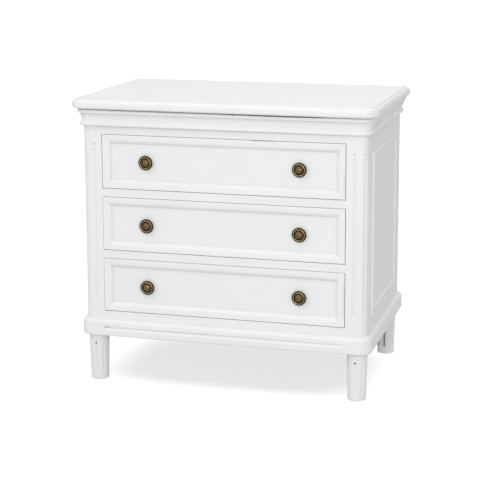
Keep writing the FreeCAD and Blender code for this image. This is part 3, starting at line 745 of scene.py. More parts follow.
def worn_and_shaded_spots():
    """Centres, half sizes and strengths of the places where the paint is thin or gone, and of a painted
    shadow line in the crease under the cornice.
    """
    sizes = bpy.context.scene.nightstand_mouldings
    outline = case_outline()
    base = node_box("base_front")
    leg_left = node_box("leg_front_left")
    leg_right = node_box("leg_front_right")
    cornice = node_box("cornice_front")
    top_drawer = node_box("drawer_top_front")[1]
    groove_left = outline.half - sizes.groove_from_corner
    groove = (base[0][1], base[0][2] + sizes.groove_top - 0.0008)
    under_nose = (outline.front - sizes.upper_bead_out - 0.002, cornice[1][2] - 0.0025)
    drawer_edge = (top_drawer[0] - 0.003, outline.front)
    return (
        # The base's groove: its left end, and two weaker stretches further right
        ((-groove_left + 0.008, *groove), (0.013, 0.004, 0.0016), 0.9),
        ((-0.10, *groove), (0.19, 0.004, 0.0016), 0.45),
        ((0.15, *groove), (0.14, 0.004, 0.0014), 0.25),
        # Under the nose: strong in the middle, weak all along
        ((0.13, *under_nose), (0.16, 0.012, 0.0024), 0.9),
        ((-0.04, *under_nose), (0.40, 0.012, 0.0022), 0.45),
        # The crease under the cornice, a dark seam with painted shade along it, and the top drawer's
        # upper edge
        ((0, outline.front, cornice[0][2] - 0.0004), (0.45, 0.003, 0.0018), 0.45),
        ((0.1, outline.front, top_drawer[2]), (0.040, 0.003, 0.0016), 0.5),
        # The right edges of the top and the lowest drawer
        ((*drawer_edge, 0.53), (0.002, 0.004, 0.035), 0.25),
        ((*drawer_edge, 0.255), (0.002, 0.004, 0.050), 0.25),
        # The front legs' joints with the base
        (
            (leg_left[1][0], leg_left[0][1] + 0.016, leg_left[1][2] - 0.004),
            (0.005, 0.010, 0.008), 0.8,
        ),
        (
            (leg_right[0][0] + 0.022, leg_right[0][1], leg_right[1][2] - 0.001),
            (0.016, 0.010, 0.0035), 0.9,
        ),
    )


def painted_wood(name, stroke, hollow_dirt_and_shade, contrast=1.0):
    """White paint brushed over stained wood, thin on its edges, with its hollows darkened by dirt and
    painted shade, and with worn spots and a painted shadow line.
    """
    settings = bpy.context.scene.nightstand_finish
    tree, shader = new_material(name)
    strokes = placed_group(tree, "Brush strokes", {"Stretch": marks_per_metre(stroke, *BRUSH_MARKS)})
    tone = spread(tree, strokes.outputs["Tone"], 0.35, 0.8)
    bright = colour(min(1.0, value * (1 + 0.025 * contrast)) for value in settings.paint)
    dull = colour(value * (1 - 0.045 * contrast) for value in settings.paint)
    coat = mixed(tree, tone, dull, bright)
    thin = rubbed(tree, 0.75 * settings.wear, 1.58, 26.0)
    coat = mixed(tree, math_node(tree, "MULTIPLY", thin, 0.55), coat, colour(settings.undercoat))
    # Hollows darkened: dirt, and painted shade in the creases
    coat = mixed(tree, math_node(tree, "MULTIPLY", point_mark(tree, "hollow"), hollow_dirt_and_shade), coat, HOLLOW_DIRT_AND_SHADE)
    bare = rubbed(tree, 0.70 * settings.wear, 1.68, 17.0)
    # Worn spots, and a painted shadow line in the crease under the cornice
    for centre, sizes, strength in worn_and_shaded_spots():
        spot = placed_group(tree, "Worn or shaded spot", {"Centre": centre, "Half sizes": sizes}).outputs["Mask"]
        bare = math_node(tree, "MAXIMUM", bare, math_node(tree, "MULTIPLY", spot, strength))
    # Point marks: drawer fronts' unpainted edges, the back right leg's stained flutes and the legs'
    # darkened dimples
    bare = math_node(tree, "MAXIMUM", bare, point_mark(tree, "bare"))
    stain = grained(tree, stroke, STAIN_MARKS, settings.stain, 0.6).outputs["Colour"]
    rough = math_node(tree, "MULTIPLY_ADD", tone, -0.10, 0.52)
    height = math_node(tree, "MULTIPLY_ADD", bare, -0.8, strokes.outputs["Height"])
    feed(tree, shader, {
        "Base Color": mixed(tree, math_node(tree, "MULTIPLY", bare, 0.8), coat, stain),
        "Roughness": math_node(tree, "MULTIPLY_ADD", bare, 0.2, rough),
        "Normal": bumped(tree, height, 0.22, 0.0004),
        "Specular IOR Level": 0.4,
    })


def bare_wood(name, stroke, tint=1.0):
    """Planed softwood with its grain along the piece."""
    tree, shader = new_material(name)
    light = tuple(value * tint for value in bpy.context.scene.nightstand_finish.bare_wood)
    grain = grained(tree, stroke, SOFTWOOD_MARKS, light, 0.62)
    feed(tree, shader, {
        "Base Color": grain.outputs["Colour"],
        "Roughness": math_node(tree, "MULTIPLY_ADD", grain.outputs["Height"], 0.2, 0.5),
        "Normal": bumped(tree, grain.outputs["Height"], 0.3, 0.0003),
    })


def aged_brass():
    """Brass gone dark in its hollows and rubbed brighter on its raised bead and dome."""
    settings = bpy.context.scene.nightstand_finish
    tree, shader = new_material("aged_brass")
    blotches = noise(tree, coordinates(tree), 150.0, 3.0, 0.7)
    uneven = math_node(tree, "MULTIPLY", blotches, 0.75)
    raised = math_node(tree, "MULTIPLY_ADD", point_mark(tree, "polish"), 0.70, uneven)
    bright = spread(tree, raised, 0.25, 1.15)
    dark, light = colour(settings.brass_dark), colour(settings.brass_light)
    feed(tree, shader, {
        "Base Color": mixed(tree, bright, dark, light),
        "Roughness": spread(tree, bright, 0.0, 1.0, 0.55, 0.30),
        "Metallic": spread(tree, bright, 0.0, 1.0, 0.55, 1.0),
        "Normal": bumped(tree, blotches, 0.15, 0.0003),
    })


def zinc_steel():
    """Zinc-plated steel with a faint spangle."""
    tree, shader = new_material("zinc_steel")
    spangle = noise(tree, coordinates(tree), 600.0, 2.0, 0.5)
    feed(tree, shader, {
        "Base Color": mixed(tree, spangle, (0.36, 0.36, 0.35, 1), (0.62, 0.61, 0.58, 1)),
        "Roughness": spread(tree, spangle, 0.2, 0.8, 0.3, 0.5),
        "Metallic": 1.0,
    })


def floor_paper():
    """White floor that glows, its glow lowered under the case as a pale painted shadow; the camera sees
    all of the glow, while the piece is lit by a share of it.

    Distance from the middle = fourth root of (x over the case's half width) to the fourth plus
    (y over its front's distance) to the fourth."""
    studio = bpy.context.scene.nightstand_studio
    tree, shader = new_material("floor_paper")
    place = coordinates(tree)
    fibre = noise(tree, place, 40.0, 4.0, 0.6)
    outline = case_outline()
    scale = (1 / outline.half, 1 / outline.front, 0)
    power = add(tree, "ShaderNodeMapping", {"Vector": place, "Scale": scale}).outputs["Vector"]
    for _ in range(2):
        power = vector_node(tree, "MULTIPLY", power, power).outputs[0]
    total = vector_node(tree, "DOT_PRODUCT", power, (1, 1, 0)).outputs["Value"]
    away = math_node(tree, "POWER", total, 0.25)
    # Painted shadow: the glow is lowered inside the case's outline
    glow = spread(tree, away, 0.70, 1.30, studio.floor_glow, 1.1)
    seen = add(tree, "ShaderNodeLightPath").outputs["Is Camera Ray"]
    share = math_node(tree, "MULTIPLY_ADD", seen, 1 - studio.floor_cast, studio.floor_cast)
    feed(tree, shader, {
        "Base Color": mixed(tree, fibre, (0.17, 0.17, 0.175, 1), (0.18, 0.18, 0.185, 1)),
        "Roughness": spread(tree, fibre, 0.0, 1.0, 0.85, 0.95),
        "Specular IOR Level": 0.0,
        "Emission Strength": math_node(tree, "MULTIPLY", glow, share),
        "Emission Color": (1, 1, 1, 1),
    })


def dress(finishes):
    """Gives nodes of the frame their finishes, listed by finish."""
    for material, nodes in finishes.items():
        for node in nodes:
            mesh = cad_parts[node].data
            mesh.materials.clear()
            mesh.materials.append(bpy.data.materials[material])


# Operators, one for each piece or group of like pieces


class NIGHTSTAND_OT_finishes(bpy.types.Operator):
    """Makes the shared effects and the finishes of every piece"""

    bl_idname = "nightstand.finishes"
    bl_label = "Finishes"

    def execute(self, context):
        stroke_group()
        grain_group()
        rubbed_group()
        spot_group()
        # The third value darkens the hollows as dirt and painted shade: most on the front, little on the
        # posts, none on the lit sides
        painted_wood("paint_across", ACROSS, 0.25)
        painted_wood("paint_fronts", ACROSS, 0.08, 0.4)
        painted_wood("paint_upright", UPRIGHT, 0.05)
        painted_wood("paint_deepwise", DEEPWISE, 0.0)
        bare_wood("wood_across", ACROSS)
        bare_wood("wood_deepwise", DEEPWISE)
        bare_wood("plywood", ACROSS, 1.12)
        aged_brass()
        zinc_steel()
        return {"FINISHED"}


class NIGHTSTAND_OT_case(bpy.types.Operator):
    """Finishes the plain pieces of the case: rails, panels, back posts, runners and small blocks"""

    bl_idname = "nightstand.case"
    bl_label = "Case"

    def execute(self, context):
        dividers = [f"divider_rail_{place}" for place in ("upper", "lower", "bottom")]
        runners = [f"runner_{level}_{side}" for level in LEVELS for side in SIDES]
        upright = [f"{node}_{side}" for node in ("side_panel", "post_back") for side in SIDES]
        dress({
            "paint_across": ["front_top_rail", *dividers, "front_apron", "bottom_panel"],
            "paint_upright": upright,
            "wood_deepwise": [*runners, "top_cleats"],
            "wood_across": ["back_top_rail", "back_bottom_rail", "drawer_stops"],
            "plywood": ["back_panel"],
            "zinc_steel": ["leg_bolts"],
        })
        return {"FINISHED"}


class NIGHTSTAND_OT_drawer_boxes(bpy.types.Operator):
    """Finishes the bare drawer boxes and their screws"""

    bl_idname = "nightstand.drawer_boxes"
    bl_label = "Drawer boxes"

    def execute(self, context):
        dress({
            "wood_deepwise": [f"drawer_{level}_side_{side}" for level in LEVELS for side in SIDES],
            "wood_across": [f"drawer_{level}_back" for level in LEVELS],
            "plywood": [f"drawer_{level}_bottom" for level in LEVELS],
            "zinc_steel": [f"drawer_{level}_knob_screws" for level in LEVELS],
        })
        return {"FINISHED"}


class NIGHTSTAND_OT_top_board(bpy.types.Operator):
    """Makes the top board: its nose profile carried round three sides, closed flat elsewhere"""

    bl_idname = "nightstand.top_board"
    bl_label = "Top board"

    def execute(self, context):
        sizes = context.scene.nightstand_mouldings
        low, high = node_box("top_board")
        outline = Outline(high[0], low[1], high[1], sizes.top_corner)
        inset = (sizes.nose_upper + sizes.top_corner) / 2
        round_top = high[2] - sizes.nose_step
        lower_start = (-sizes.nose_lower, low[2])
        lower_end = (0, low[2] + sizes.nose_lower)
        upper_start = (0, round_top - sizes.nose_upper)
        upper_end = (-sizes.nose_upper, round_top)
        profile = profile_of(
            (-inset, low[2]),
            lower_start,
            bowed(lower_start, lower_end, QUARTER_BULGE * sizes.nose_lower),
            upper_start,
            bowed(upper_start, upper_end, QUARTER_BULGE * sizes.nose_upper, 16),
            (-sizes.nose_upper, high[2]),
            (-inset, high[2]),
        )
        profile = softened(profile, sizes.nose_step / 3)
        stations = chained(
            straight([(-outline.half, outline.back)], (-1, 0), [0.0]),
            corner_arc(outline, -1, 180, 270, 24),
            corner_arc(outline, 1, 270, 360, 24),
            straight([(outline.half, outline.back)], (1, 0), [0.0]),
        )
        points = swept(stations, *profile.T)
        index = numbered(points)
        back = np.concatenate([index[0], index[-1][::-1]])
        surface = grid(points)._replace(caps=[index[:, 0], index[:, -1], back])
        make_piece("top", surface, ["top_board"], "paint_across")
        return {"FINISHED"}


def cornice_profile(sizes, bottom, top, soft):
    """Cornice's section: a lower bead that flares into a hollow neck, an upper bead and a quirk.

    Flare from place a to place b = a plus (b - a) times (3 t squared - 2 t cubed)."""
    radius = sizes.lower_bead
    neck_top = bottom + 2 * radius + sizes.neck_height
    quirk = neck_top + 2 * sizes.upper_bead
    bead_start = (sizes.cornice_fillet + sizes.bead_flat, bottom)
    nose = (sizes.cornice_fillet + radius, bottom + radius)
    t = np.linspace(0, 1, 12)[1:]
    neck_start = sizes.cornice_fillet + sizes.neck_hollow * NECK_START
    flare_out = nose[0] + (neck_start - nose[0]) * (3 * t**2 - 2 * t**3)
    flare = np.stack([flare_out, nose[1] + sizes.flare * t], axis=1)
    upper_start = (sizes.upper_bead_out, neck_top)
    upper_end = (sizes.upper_bead_out, quirk)
    profile = profile_of(
        (0, bottom),
        bead_start,
        bowed(bead_start, nose, QUARTER_BULGE * (radius - sizes.bead_flat / 2), 8),
        flare,
        bowed(flare[-1], (sizes.neck_out, neck_top), -sizes.neck_hollow),
        upper_start,
        bowed(upper_start, upper_end, sizes.upper_bead),
        (sizes.quirk_out, quirk),
        (sizes.quirk_out, top),
        (0, top),
    )
    return softened(profile, soft * CORNICE_SOFTNESS)


def side_section(profile, sizes):
    """How far the section stands off at the sides, where paint fills its hollows.

    Above the lower bead it is no more than a shorter flare, and above the neck's foot no less than a
    straight line to the section's upper end."""
    out, z = profile.T
    nose = profile[0, 1] + sizes.lower_bead
    t = np.clip((z - nose) / sizes.side_flare, 0, 1)
    most = sizes.cornice_fillet + sizes.lower_bead * (1 - 3 * t**2 + 2 * t**3)
    flared = (z > nose) & (z < nose + sizes.flare)
    out = np.where(flared, np.minimum(out, most), out)
    line = np.interp(z, [nose + sizes.side_flare, profile[-1, 1]], [0, 1])
    least = sizes.cornice_fillet + (sizes.side_fill - sizes.cornice_fillet) * line
    return np.where((out > 0) & (line > 0), np.maximum(out, least), out)


class NIGHTSTAND_OT_cornice(bpy.types.Operator):
    """Makes the cornice: two beads and a neck carried round the front corners, in three mitred pieces"""

    bl_idname = "nightstand.cornice"
    bl_label = "Cornice"

    def execute(self, context):
        sizes = context.scene.nightstand_mouldings
        soft = context.scene.nightstand_finish.edge_softness
        low, high = node_box("cornice_front")
        outline = case_outline()
        profile = cornice_profile(sizes, low[2], high[2], soft)
        front = swept_piece(front_path(outline, np.array([])), *profile.T)
        make_piece("cornice_across", front, ["cornice_front"], "paint_across")
        path = side_path(outline, np.array([]))
        share = np.clip(np.arange(len(path.base)) / (ARC_STEPS - 1), 0, 1)[:, None]
        out = (1 - share) * profile[:, 0] + share * side_section(profile, sizes)
        side_piece = swept_piece(path, out, profile[:, 1])
        make_sides("cornice_return", side_piece, ["cornice"], "paint_deepwise")
        return {"FINISHED"}


def groove_depth(along, height, top, reach, sizes):
    """Depth of the stopped groove: greatest just under its upper edge and running out evenly below.

    Past the reach it turns a quarter circle, so the depth falls with the distance from that corner."""
    below = top - height
    past = np.maximum(along - reach, 0)
    away = np.hypot(np.maximum(below, 0), past)
    slope = sizes.groove_depth * np.clip(1 - away / sizes.groove_width, 0, 1)
    return slope * np.clip(below / WALL_HEIGHT, 0, 1)


def base_profile(sizes, low_z, high_z, out, top):
    """Base moulding's section, with close points where the groove runs."""
    round_start = (out, high_z - out)
    ease_start = (out - sizes.base_easing, low_z)
    ease_end = (out, low_z + sizes.base_easing)
    groove = np.linspace(top - sizes.groove_width - GROOVE_MARGIN, top - WALL_FOOT, 14)
    heights = np.concatenate([groove, top - np.array(WALL_STATIONS)])
    face = np.stack([np.full_like(heights, out), heights], axis=1)
    return profile_of(
        (0, low_z),
        ease_start,
        bowed(ease_start, ease_end, QUARTER_BULGE * sizes.base_easing, 5),
        face,
        round_start,
        bowed(round_start, (0, high_z), QUARTER_BULGE * out, 12),
    )


def grooved_piece(path, profile, out, reach, top, sizes):
    """Base moulding along a path, its face cut by the stopped groove."""
    depth = groove_depth(path.along[:, None], profile[None, :, 1], top, reach, sizes)
    on_face = np.abs(profile[:, 0] - out) < 1e-6
    return swept_piece(path, profile[:, 0] - depth * on_face, profile[:, 1])


class NIGHTSTAND_OT_base(bpy.types.Operator):
    """Makes the base moulding: a face with a stopped groove and a round top, in three mitred pieces"""

    bl_idname = "nightstand.base"
    bl_label = "Base moulding"

    def execute(self, context):
        sizes = context.scene.nightstand_mouldings
        low, high = node_box("base_front")
        outline = case_outline()
        out = outline.front - low[1]
        top = low[2] + sizes.groove_top
        profile = base_profile(sizes, low[2], high[2], out, top)
        reach = outline.half - sizes.groove_from_corner - sizes.groove_width
        past_end = reach + sizes.groove_width + GROOVE_MARGIN
        ends = np.linspace(reach - END_MARGIN, past_end, 16)
        xs = np.concatenate([-ends[::-1], ends])
        front = grooved_piece(front_path(outline, xs), profile, out, reach, top, sizes)
        make_piece("base_across", front, ["base_front"], "paint_across")
        first = outline.front + sizes.groove_from_corner
        last = outline.back - sizes.groove_from_back
        middle = (first + last) / 2
        side_reach = (last - first) / 2 - sizes.groove_width
        side_ends = ends - reach + side_reach
        ys = middle + np.concatenate([-side_ends[::-1], side_ends])
        side_piece = grooved_piece(side_path(outline, ys), profile, out, side_reach, top, sizes)
        make_sides("base_return", side_piece, ["base"], "paint_deepwise")
        return {"FINISHED"}


def flute_depth(across, height, low, high, cutter, depth):
    """Depth left by a round-nosed cutter run between two heights, its edges eased.

    Depth = root of (cutter radius squared less distance squared) less the cutter's stand-off."""
    stand_off = cutter - depth
    end_reach = math.sqrt(cutter**2 - stand_off**2)
    past = np.maximum(0, np.maximum(low + end_reach - height, height - (high - end_reach)))
    bite = np.sqrt(np.maximum(cutter**2 - across**2 - past**2, 0)) - stand_off
    return 0.5 * (bite + np.sqrt(bite**2 + FLUTE_EASING**2))


def dimple_depth(across, height, centre, radius):
    """Depth of a round-ended drill's dimple: root of (radius squared less distance squared)."""
    return np.sqrt(np.maximum(radius**2 - across**2 - (height - centre) ** 2, 0))


def spaced(parts):
    """Sorted places from several stretches, each once."""
    return np.unique(np.round(np.concatenate(parts), 6))


class NIGHTSTAND_OT_front_posts(bpy.types.Operator):
    """Makes the front posts: a rounded square section, cut by three flutes and three dimples"""

    bl_idname = "nightstand.front_posts"
    bl_label = "Front posts"

    def execute(self, context):
        sizes = context.scene.nightstand_flutes
        outline = case_outline()
        low, high = node_box("post_front_right")
        flute_low = node_box("base_front")[1][2] + sizes.post_above_base
        flute_high = node_box("cornice_front")[0][2] - sizes.post_below_cornice
        dimple = flute_high + sizes.post_dimple_rise
        flat = high[0] - low[0] - outline.radius
        turn = outline.radius * math.pi / 2
        in_corner = high[0] - low[0] - sizes.post_from_corner
        centres = (in_corner, flat + turn / 2, 2 * flat + turn - in_corner)
        close = FLUTE_SPAN * sizes.post_cutter
        near_flute = np.linspace(-close, close, 27)
        across = spaced([np.linspace(0, 2 * flat + turn, 60), *(c + near_flute for c in centres)])
        ends = np.linspace(-END_MARGIN, 2 * sizes.post_cutter, 18)
        heights = spaced([
            np.linspace(low[2], high[2], 24),
            flute_low + ends,
            flute_high - ends,
            dimple + np.linspace(-DIMPLE_SPAN, DIMPLE_SPAN, 19) * sizes.post_dimple,
        ])
        s, z = np.meshgrid(across, heights)
        bend = np.clip((s - flat) / outline.radius, 0, math.pi / 2)
        x = low[0] + np.minimum(s, flat) + outline.radius * np.sin(bend)
        y = low[1] + outline.radius * (1 - np.cos(bend)) + np.maximum(s - flat - turn, 0)
        depth = np.zeros_like(s)
        for centre in centres:
            cut = flute_depth(s - centre, z, flute_low, flute_high, sizes.post_cutter, sizes.post_depth)
            depth = np.maximum(depth, cut)
            depth = np.maximum(depth, dimple_depth(s - centre, z, dimple, sizes.post_dimple))
        outer = np.stack([x - depth * np.sin(bend), y + depth * np.cos(bend), z], axis=-1)
        inner = np.stack(np.broadcast_arrays(low[0], high[1], heights), axis=-1)
        points = np.concatenate([outer, inner[:, None]], axis=1)
        make_sides("post", tube(points), ["post_front"], "paint_upright")
        return {"FINISHED"}


class NIGHTSTAND_OT_legs(bpy.types.Operator):
    """Makes the four legs: a tapered round, cut by flutes and a dimple over every second one"""

    bl_idname = "nightstand.legs"
    bl_label = "Legs"

    def execute(self, context):
        sizes = context.scene.nightstand_flutes
        low, high = node_box("leg_front_right")
        centre = (low + high) / 2
        top_radius = (high[0] - low[0]) / 2
        foot_radius = sizes.leg_foot / 2
        flute_high = sizes.leg_bottom + sizes.leg_length
        dimple = flute_high + sizes.leg_dimple_rise
        ends = np.linspace(-END_MARGIN, 2 * sizes.leg_cutter, 14)
        easing = sizes.leg_easing * (1 - np.cos(np.linspace(0, math.pi / 2, 6)))
        heights = spaced([
            easing,
            np.linspace(sizes.leg_easing, high[2], 20),
            sizes.leg_bottom + ends,
            flute_high - ends,
            dimple + np.linspace(-DIMPLE_SPAN, DIMPLE_SPAN, 15) * sizes.leg_dimple,
        ])
        angles = np.linspace(0, 2 * math.pi, 288, endpoint=False)
        angle, z = np.meshgrid(angles, heights)
        radius = foot_radius + (top_radius - foot_radius) * z / high[2]
        rise = np.clip(1 - z / sizes.leg_easing, 0, 1)
        eased = sizes.leg_easing * (1 - np.sqrt(1 - rise**2))
        pitch = 2 * math.pi / sizes.leg_flutes
        off = (angle + pitch / 2) % pitch - pitch / 2
        cutter, depth = sizes.leg_cutter, sizes.leg_depth
        cut = flute_depth(radius * off, z, sizes.leg_bottom, flute_high, cutter, depth)
        double = (angle + pitch) % (2 * pitch) - pitch
        drilled = dimple_depth(radius * double, z, dimple, sizes.leg_dimple)
        # Dimples darkened with the stain colour, more where they are deeper
        bare = np.clip(DIMPLE_DARKENING * drilled / sizes.leg_dimple, 0, 1)
        stained = (angle > STAINED_FLUTES[0]) & (angle < STAINED_FLUTES[1])
        fluted = np.clip(cut / sizes.leg_depth, 0, 1) * stained
        radius = radius - eased - np.maximum(cut, drilled)
        points = np.stack([radius * np.cos(angle), radius * np.sin(angle), z], axis=-1)
        surface = tube(points)
        for place in ("front", "back"):
            y = sum(node_box(f"leg_{place}_right"))[1] / 2
            for name, side in SIDES.items():
                leg = f"leg_{place}_{name}"
                dark_marks = np.maximum(bare, fluted) if leg == "leg_back_right" else bare
                own_surface = moved(surface, side * centre[0], y, 0)
                make_piece(f"fluted_{leg}", own_surface, [leg], "paint_upright", marks={"bare": dark_marks})
        return {"FINISHED"}


def round_box(places, low, high, axes, inset):
    """Places carried round a box and moved inwards: centre + place times (half size less inset)."""
    half = (high - low) / 2
    middle = (low + high) / 2
    return [middle[axis] + places[:, [k]] * (half[axis] - inset) for k, axis in enumerate(axes)]


class NIGHTSTAND_OT_side_frames(bpy.types.Operator):
    """Makes the side frames: a section with a ridge near its inner edge, round a mitred rectangle"""

    bl_idname = "nightstand.side_frames"
    bl_label = "Side frames"

    def execute(self, context):
        sizes = context.scene.nightstand_mouldings
        soft = context.scene.nightstand_finish.edge_softness
        low, high = node_box("side_moulding_uprights_right")
        outer = high[0] - low[0]
        edge = (0, sizes.frame_edge)
        ridge = (sizes.frame_slope, outer)
        inner_edge = (sizes.frame_width, sizes.frame_edge)
        profile = profile_of(
            edge,
            bowed(edge, ridge, -sizes.frame_edge, 8),
            (sizes.frame_slope + sizes.frame_ridge, outer),
            inner_edge,
        )
        profile = profile_of((0, FRAME_FOOT), profile, (sizes.frame_width, FRAME_FOOT))
        profile = softened(profile, soft * FRAME_SOFTNESS)
        profile[:, 1] = np.maximum(profile[:, 1], 0)
        corners = np.array([(-1, -1), (1, -1), (1, 1), (-1, 1)], float)
        y, z = round_box(corners, low, high, (1, 2), profile[:, 0])
        points = np.stack(np.broadcast_arrays(low[0] + profile[:, 1], y, z), axis=-1)
        surface = grid(points, wrap_rows=True, wrap_columns=True)
        nodes = ["side_moulding_uprights", "side_moulding_crosspieces"]
        make_sides("side_frame", surface, nodes, "paint_upright")
        return {"FINISHED"}


def rectangle_round(fractions):
    """Places round a square from -1 to 1, with the given fractions along each side."""
    run = np.array(fractions, float)
    one = np.ones_like(run)
    return np.concatenate([
        np.stack([run, -one], axis=1),
        np.stack([one, run], axis=1),
        np.stack([-run, one], axis=1),
        np.stack([-one, -run], axis=1),
    ])


class NIGHTSTAND_OT_drawer_fronts(bpy.types.Operator):
    """Makes the drawer fronts: one section from back to sunk field, carried round a mitred rectangle"""

    bl_idname = "nightstand.drawer_fronts"
    bl_label = "Drawer fronts"

    def execute(self, context):
        sizes = context.scene.nightstand_drawers
        soft = context.scene.nightstand_finish.edge_softness
        for level in LEVELS:
            node = f"drawer_{level}_front"
            low, high = node_box(node)
            inner = sizes.border + sizes.sticking_width
            round_start = (sizes.border, low[1])
            round_end = (inner, low[1] + sizes.sticking_depth)
            profile = profile_of(
                (inner, high[1]),
                (0, high[1]),
                (0, low[1]),
                round_start,
                bowed(round_start, round_end, sizes.sticking_round, 10),
                (inner, low[1] + sizes.field_depth),
                (inner + FIELD_MARGIN, low[1] + sizes.field_depth),
            )
            profile = softened(profile, soft)
            around = rectangle_round(FRONT_STATIONS)
            low[[0, 2]] -= sizes.gap_fill
            high[2] += sizes.gap_fill
            if level != "top":
                low[0] -= sizes.left_fill - sizes.gap_fill
            x, z = round_box(around, low, high, (0, 2), profile[:, 0])
            points = np.stack(np.broadcast_arrays(x, profile[:, 1], z), axis=-1).transpose(1, 0, 2)
            unpainted = (profile[:, :1] < soft) & (profile[:, 1:] > low[1] + sizes.edge_paint)
            bare = np.broadcast_to(THIN_COAT * unpainted, points.shape[:2])
            make_piece(
                f"drawer_face_{level}", tube(points), [node], "paint_fronts",
                body=f"drawer_{level}", marks={"bare": bare},
            )
        return {"FINISHED"}


class NIGHTSTAND_OT_knobs(bpy.types.Operator):
    """Makes the knobs: foot, neck, rim, raised bead and dome turned about an axis out of each field"""

    bl_idname = "nightstand.knobs"
    bl_label = "Knobs"

    def execute(self, context):
        sizes = context.scene.nightstand_drawers
        field = node_box("drawer_top_front")[0][1] + sizes.field_depth
        low, high = node_box("drawer_top_knobs")
        rim_radius = (high[2] - low[2]) / 2
        knob_x = high[0] - rim_radius
        rim_front = sizes.knob_rim + sizes.knob_rim_edge
        bead_base = rim_front + sizes.knob_bead_rise
        bead_outer = sizes.knob_bead_place + sizes.knob_bead
        bead_inner = sizes.knob_bead_place - sizes.knob_bead
        neck_end = (sizes.knob_neck, sizes.knob_neck_length)
        rise = field - low[1] - rim_front
        ball = (sizes.knob_dome**2 + rise**2) / (2 * rise)
        dome_bulge = ball * (1 - math.cos(math.asin(sizes.knob_dome / ball) / 2))
        profile = profile_of(
            (AXIS_HOLE, 0),
            (sizes.knob_foot, 0),
            neck_end,
            bowed(neck_end, (rim_radius, sizes.knob_rim), -sizes.knob_flare),
            (rim_radius, rim_front),
            (bead_outer, bead_base),
            bowed((bead_outer, bead_base), (bead_inner, bead_base), sizes.knob_bead, 14),
            (sizes.knob_dome, rim_front),
            bowed((sizes.knob_dome, rim_front), (AXIS_HOLE, rim_front + rise), dome_bulge, 20),
        )
        profile = softened(profile, KNOB_SOFTNESS)
        angle = np.linspace(0, 2 * math.pi, 72, endpoint=False)
        radius = profile[:, :1]
        turn = (radius * np.cos(angle), field - profile[:, 1:], radius * np.sin(angle))
        points = np.stack(np.broadcast_arrays(*turn), axis=-1)
        turned = tube(points)
        on_bead = np.abs(radius - sizes.knob_bead_place) < sizes.knob_bead * RUBBED_SHARE
        polish = np.where(on_bead & (profile[:, 1:] > rim_front), 1.0, 0.0)
        polish = np.where(radius < sizes.knob_dome * RUBBED_SHARE, DOME_POLISH, polish)
        polish = polish * (profile[:, 1:] > sizes.knob_rim)
        polish = np.broadcast_to(polish, points.shape[:2]).ravel()
        for level in LEVELS:
            knob_low, knob_high = node_box(f"drawer_{level}_knobs")
            height = (knob_low[2] + knob_high[2]) / 2
            pair = [moved(turned, side * knob_x, 0, height) for side in SIDES.values()]
            make_piece(
                f"knobs_{level}", joined(pair), [f"drawer_{level}_knobs"], "aged_brass",
                body=f"drawer_{level}",
                marks={"polish": np.tile(polish, len(pair))},
            )
        return {"FINISHED"}


def softbox(name, place, aim, power, tint=(1, 1, 1)):
    """Square soft light, turned towards its aim."""
    light = bpy.data.lights.new(name, "AREA")
    light.size = SOFTBOX_WIDTH
    light.energy = power
    light.color = tint
    lamp = placed_object(name, light)
    lamp.location = place
    lamp.rotation_euler = (Vector(aim) - Vector(place)).to_track_quat("-Z", "Y").to_euler()


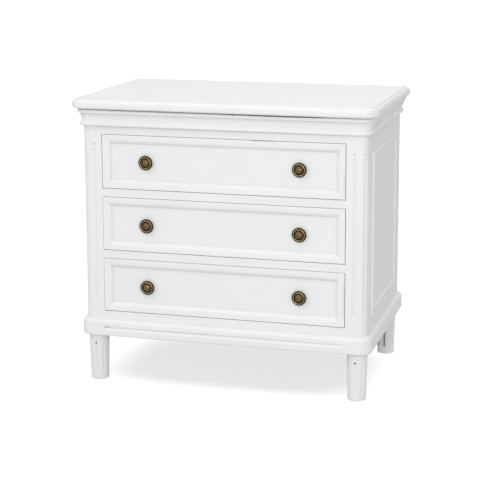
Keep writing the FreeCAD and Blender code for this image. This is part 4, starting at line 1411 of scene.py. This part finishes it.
class NIGHTSTAND_OT_studio(bpy.types.Operator):
    """Sets the stage: a glowing white floor with a painted shadow under the case, four softboxes in a
    lit room, and the camera
    """

    bl_idname = "nightstand.studio"
    bl_label = "Studio"

    def execute(self, context):
        studio = context.scene.nightstand_studio
        self.floor()
        self.lights(studio)
        self.room(studio)
        self.camera(studio)
        context.scene.view_settings.view_transform = "Standard"
        context.scene.view_settings.look = "None"
        return {"FINISHED"}

    def floor(self):
        """Flat grid whose lines lie closer near the middle: place = reach times t times its size."""
        t = np.linspace(-1, 1, 41)
        lines = 40.0 * t * np.abs(t)
        x, y = np.meshgrid(lines, lines)
        surface = grid(np.stack([x, y, np.zeros_like(x)], axis=-1))
        mesh = bpy.data.meshes.new("floor")
        mesh.from_pydata(surface.points.tolist(), [], surface.quads.tolist())
        floor_paper()
        mesh.materials.append(bpy.data.materials["floor_paper"])
        floor = placed_object("floor", mesh)

    def lights(self, studio):
        aim = (0, 0, 0.35)
        softbox("left_softbox", (-1.70, -1.70, 2.75), aim, studio.left_light)
        softbox("front_softbox", (0.85, -3.17, 1.23), aim, studio.front_light)
        softbox("overhead_softbox", (0, -0.1, 3.35), aim, studio.overhead_light, studio.overhead_tint)
        softbox("back_softbox", (0, 2.26, 2.61), aim, studio.back_light)

    def room(self, studio):
        """Even light on the object, with plain white behind it in the picture."""
        world = bpy.data.worlds.new("room")
        bpy.context.scene.world = world
        world.use_nodes = True
        tree = world.node_tree
        background = tree.nodes["Background"]
        seen = add(tree, "ShaderNodeLightPath").outputs["Is Camera Ray"]
        strength = math_node(tree, "MULTIPLY_ADD", seen, 1.05 - studio.sky, studio.sky)
        feed(tree, background, {"Strength": strength, "Color": (1, 1, 1, 1)})

    def camera(self, studio):
        """Camera from its yaw, pitch and roll; its shift moves the optical centre off the middle."""
        yaw, pitch, roll = studio.camera_yaw, studio.camera_pitch, studio.camera_roll
        ahead = math.cos(pitch)
        forward = Vector((-math.sin(yaw) * ahead, math.cos(yaw) * ahead, -math.sin(pitch)))
        level = Vector((math.cos(yaw), math.sin(yaw), 0))
        above = level.cross(forward)
        right = math.cos(roll) * level + math.sin(roll) * above
        up = -math.sin(roll) * level + math.cos(roll) * above
        turn = Matrix((right, up, -forward)).transposed().to_4x4()
        lens = bpy.data.cameras.new("camera")
        lens.sensor_width = 36.0
        lens.lens = studio.focal_pixels / PHOTO_WIDTH * lens.sensor_width
        lens.shift_x = -studio.centre_x / PHOTO_WIDTH
        lens.shift_y = -studio.centre_y / PHOTO_WIDTH
        camera = placed_object("camera", lens)
        camera.matrix_world = Matrix.Translation(Vector(studio.camera_place)) @ turn
        bpy.context.scene.camera = camera


OPERATORS = (
    NIGHTSTAND_OT_finishes,
    NIGHTSTAND_OT_case,
    NIGHTSTAND_OT_drawer_boxes,
    NIGHTSTAND_OT_top_board,
    NIGHTSTAND_OT_cornice,
    NIGHTSTAND_OT_base,
    NIGHTSTAND_OT_front_posts,
    NIGHTSTAND_OT_legs,
    NIGHTSTAND_OT_side_frames,
    NIGHTSTAND_OT_drawer_fronts,
    NIGHTSTAND_OT_knobs,
    NIGHTSTAND_OT_studio,
)


class NIGHTSTAND_PT_panel(bpy.types.Panel):
    """Lists the pieces in the order in which they are made"""

    bl_idname = "NIGHTSTAND_PT_panel"
    bl_label = "Nightstand"
    bl_space_type = "VIEW_3D"
    bl_region_type = "UI"
    bl_category = "Nightstand"

    def draw(self, context):
        for maker in OPERATORS:
            self.layout.operator(maker.bl_idname)


CLASSES = (*MAKER_GROUPS.values(), *OPERATORS, NIGHTSTAND_PT_panel)


def register():
    for cls in CLASSES:
        bpy.utils.register_class(cls)
    for name, group in MAKER_GROUPS.items():
        setattr(bpy.types.Scene, name, PointerProperty(type=group))


def unregister():
    for name in MAKER_GROUPS:
        delattr(bpy.types.Scene, name)
    for cls in reversed(CLASSES):
        bpy.utils.unregister_class(cls)


def main():
    """Makes every piece in order."""
    register()
    for maker in OPERATORS:
        group, name = maker.bl_idname.split(".")
        getattr(getattr(bpy.ops, group), name)()


if __name__ == "__main__":
    main()
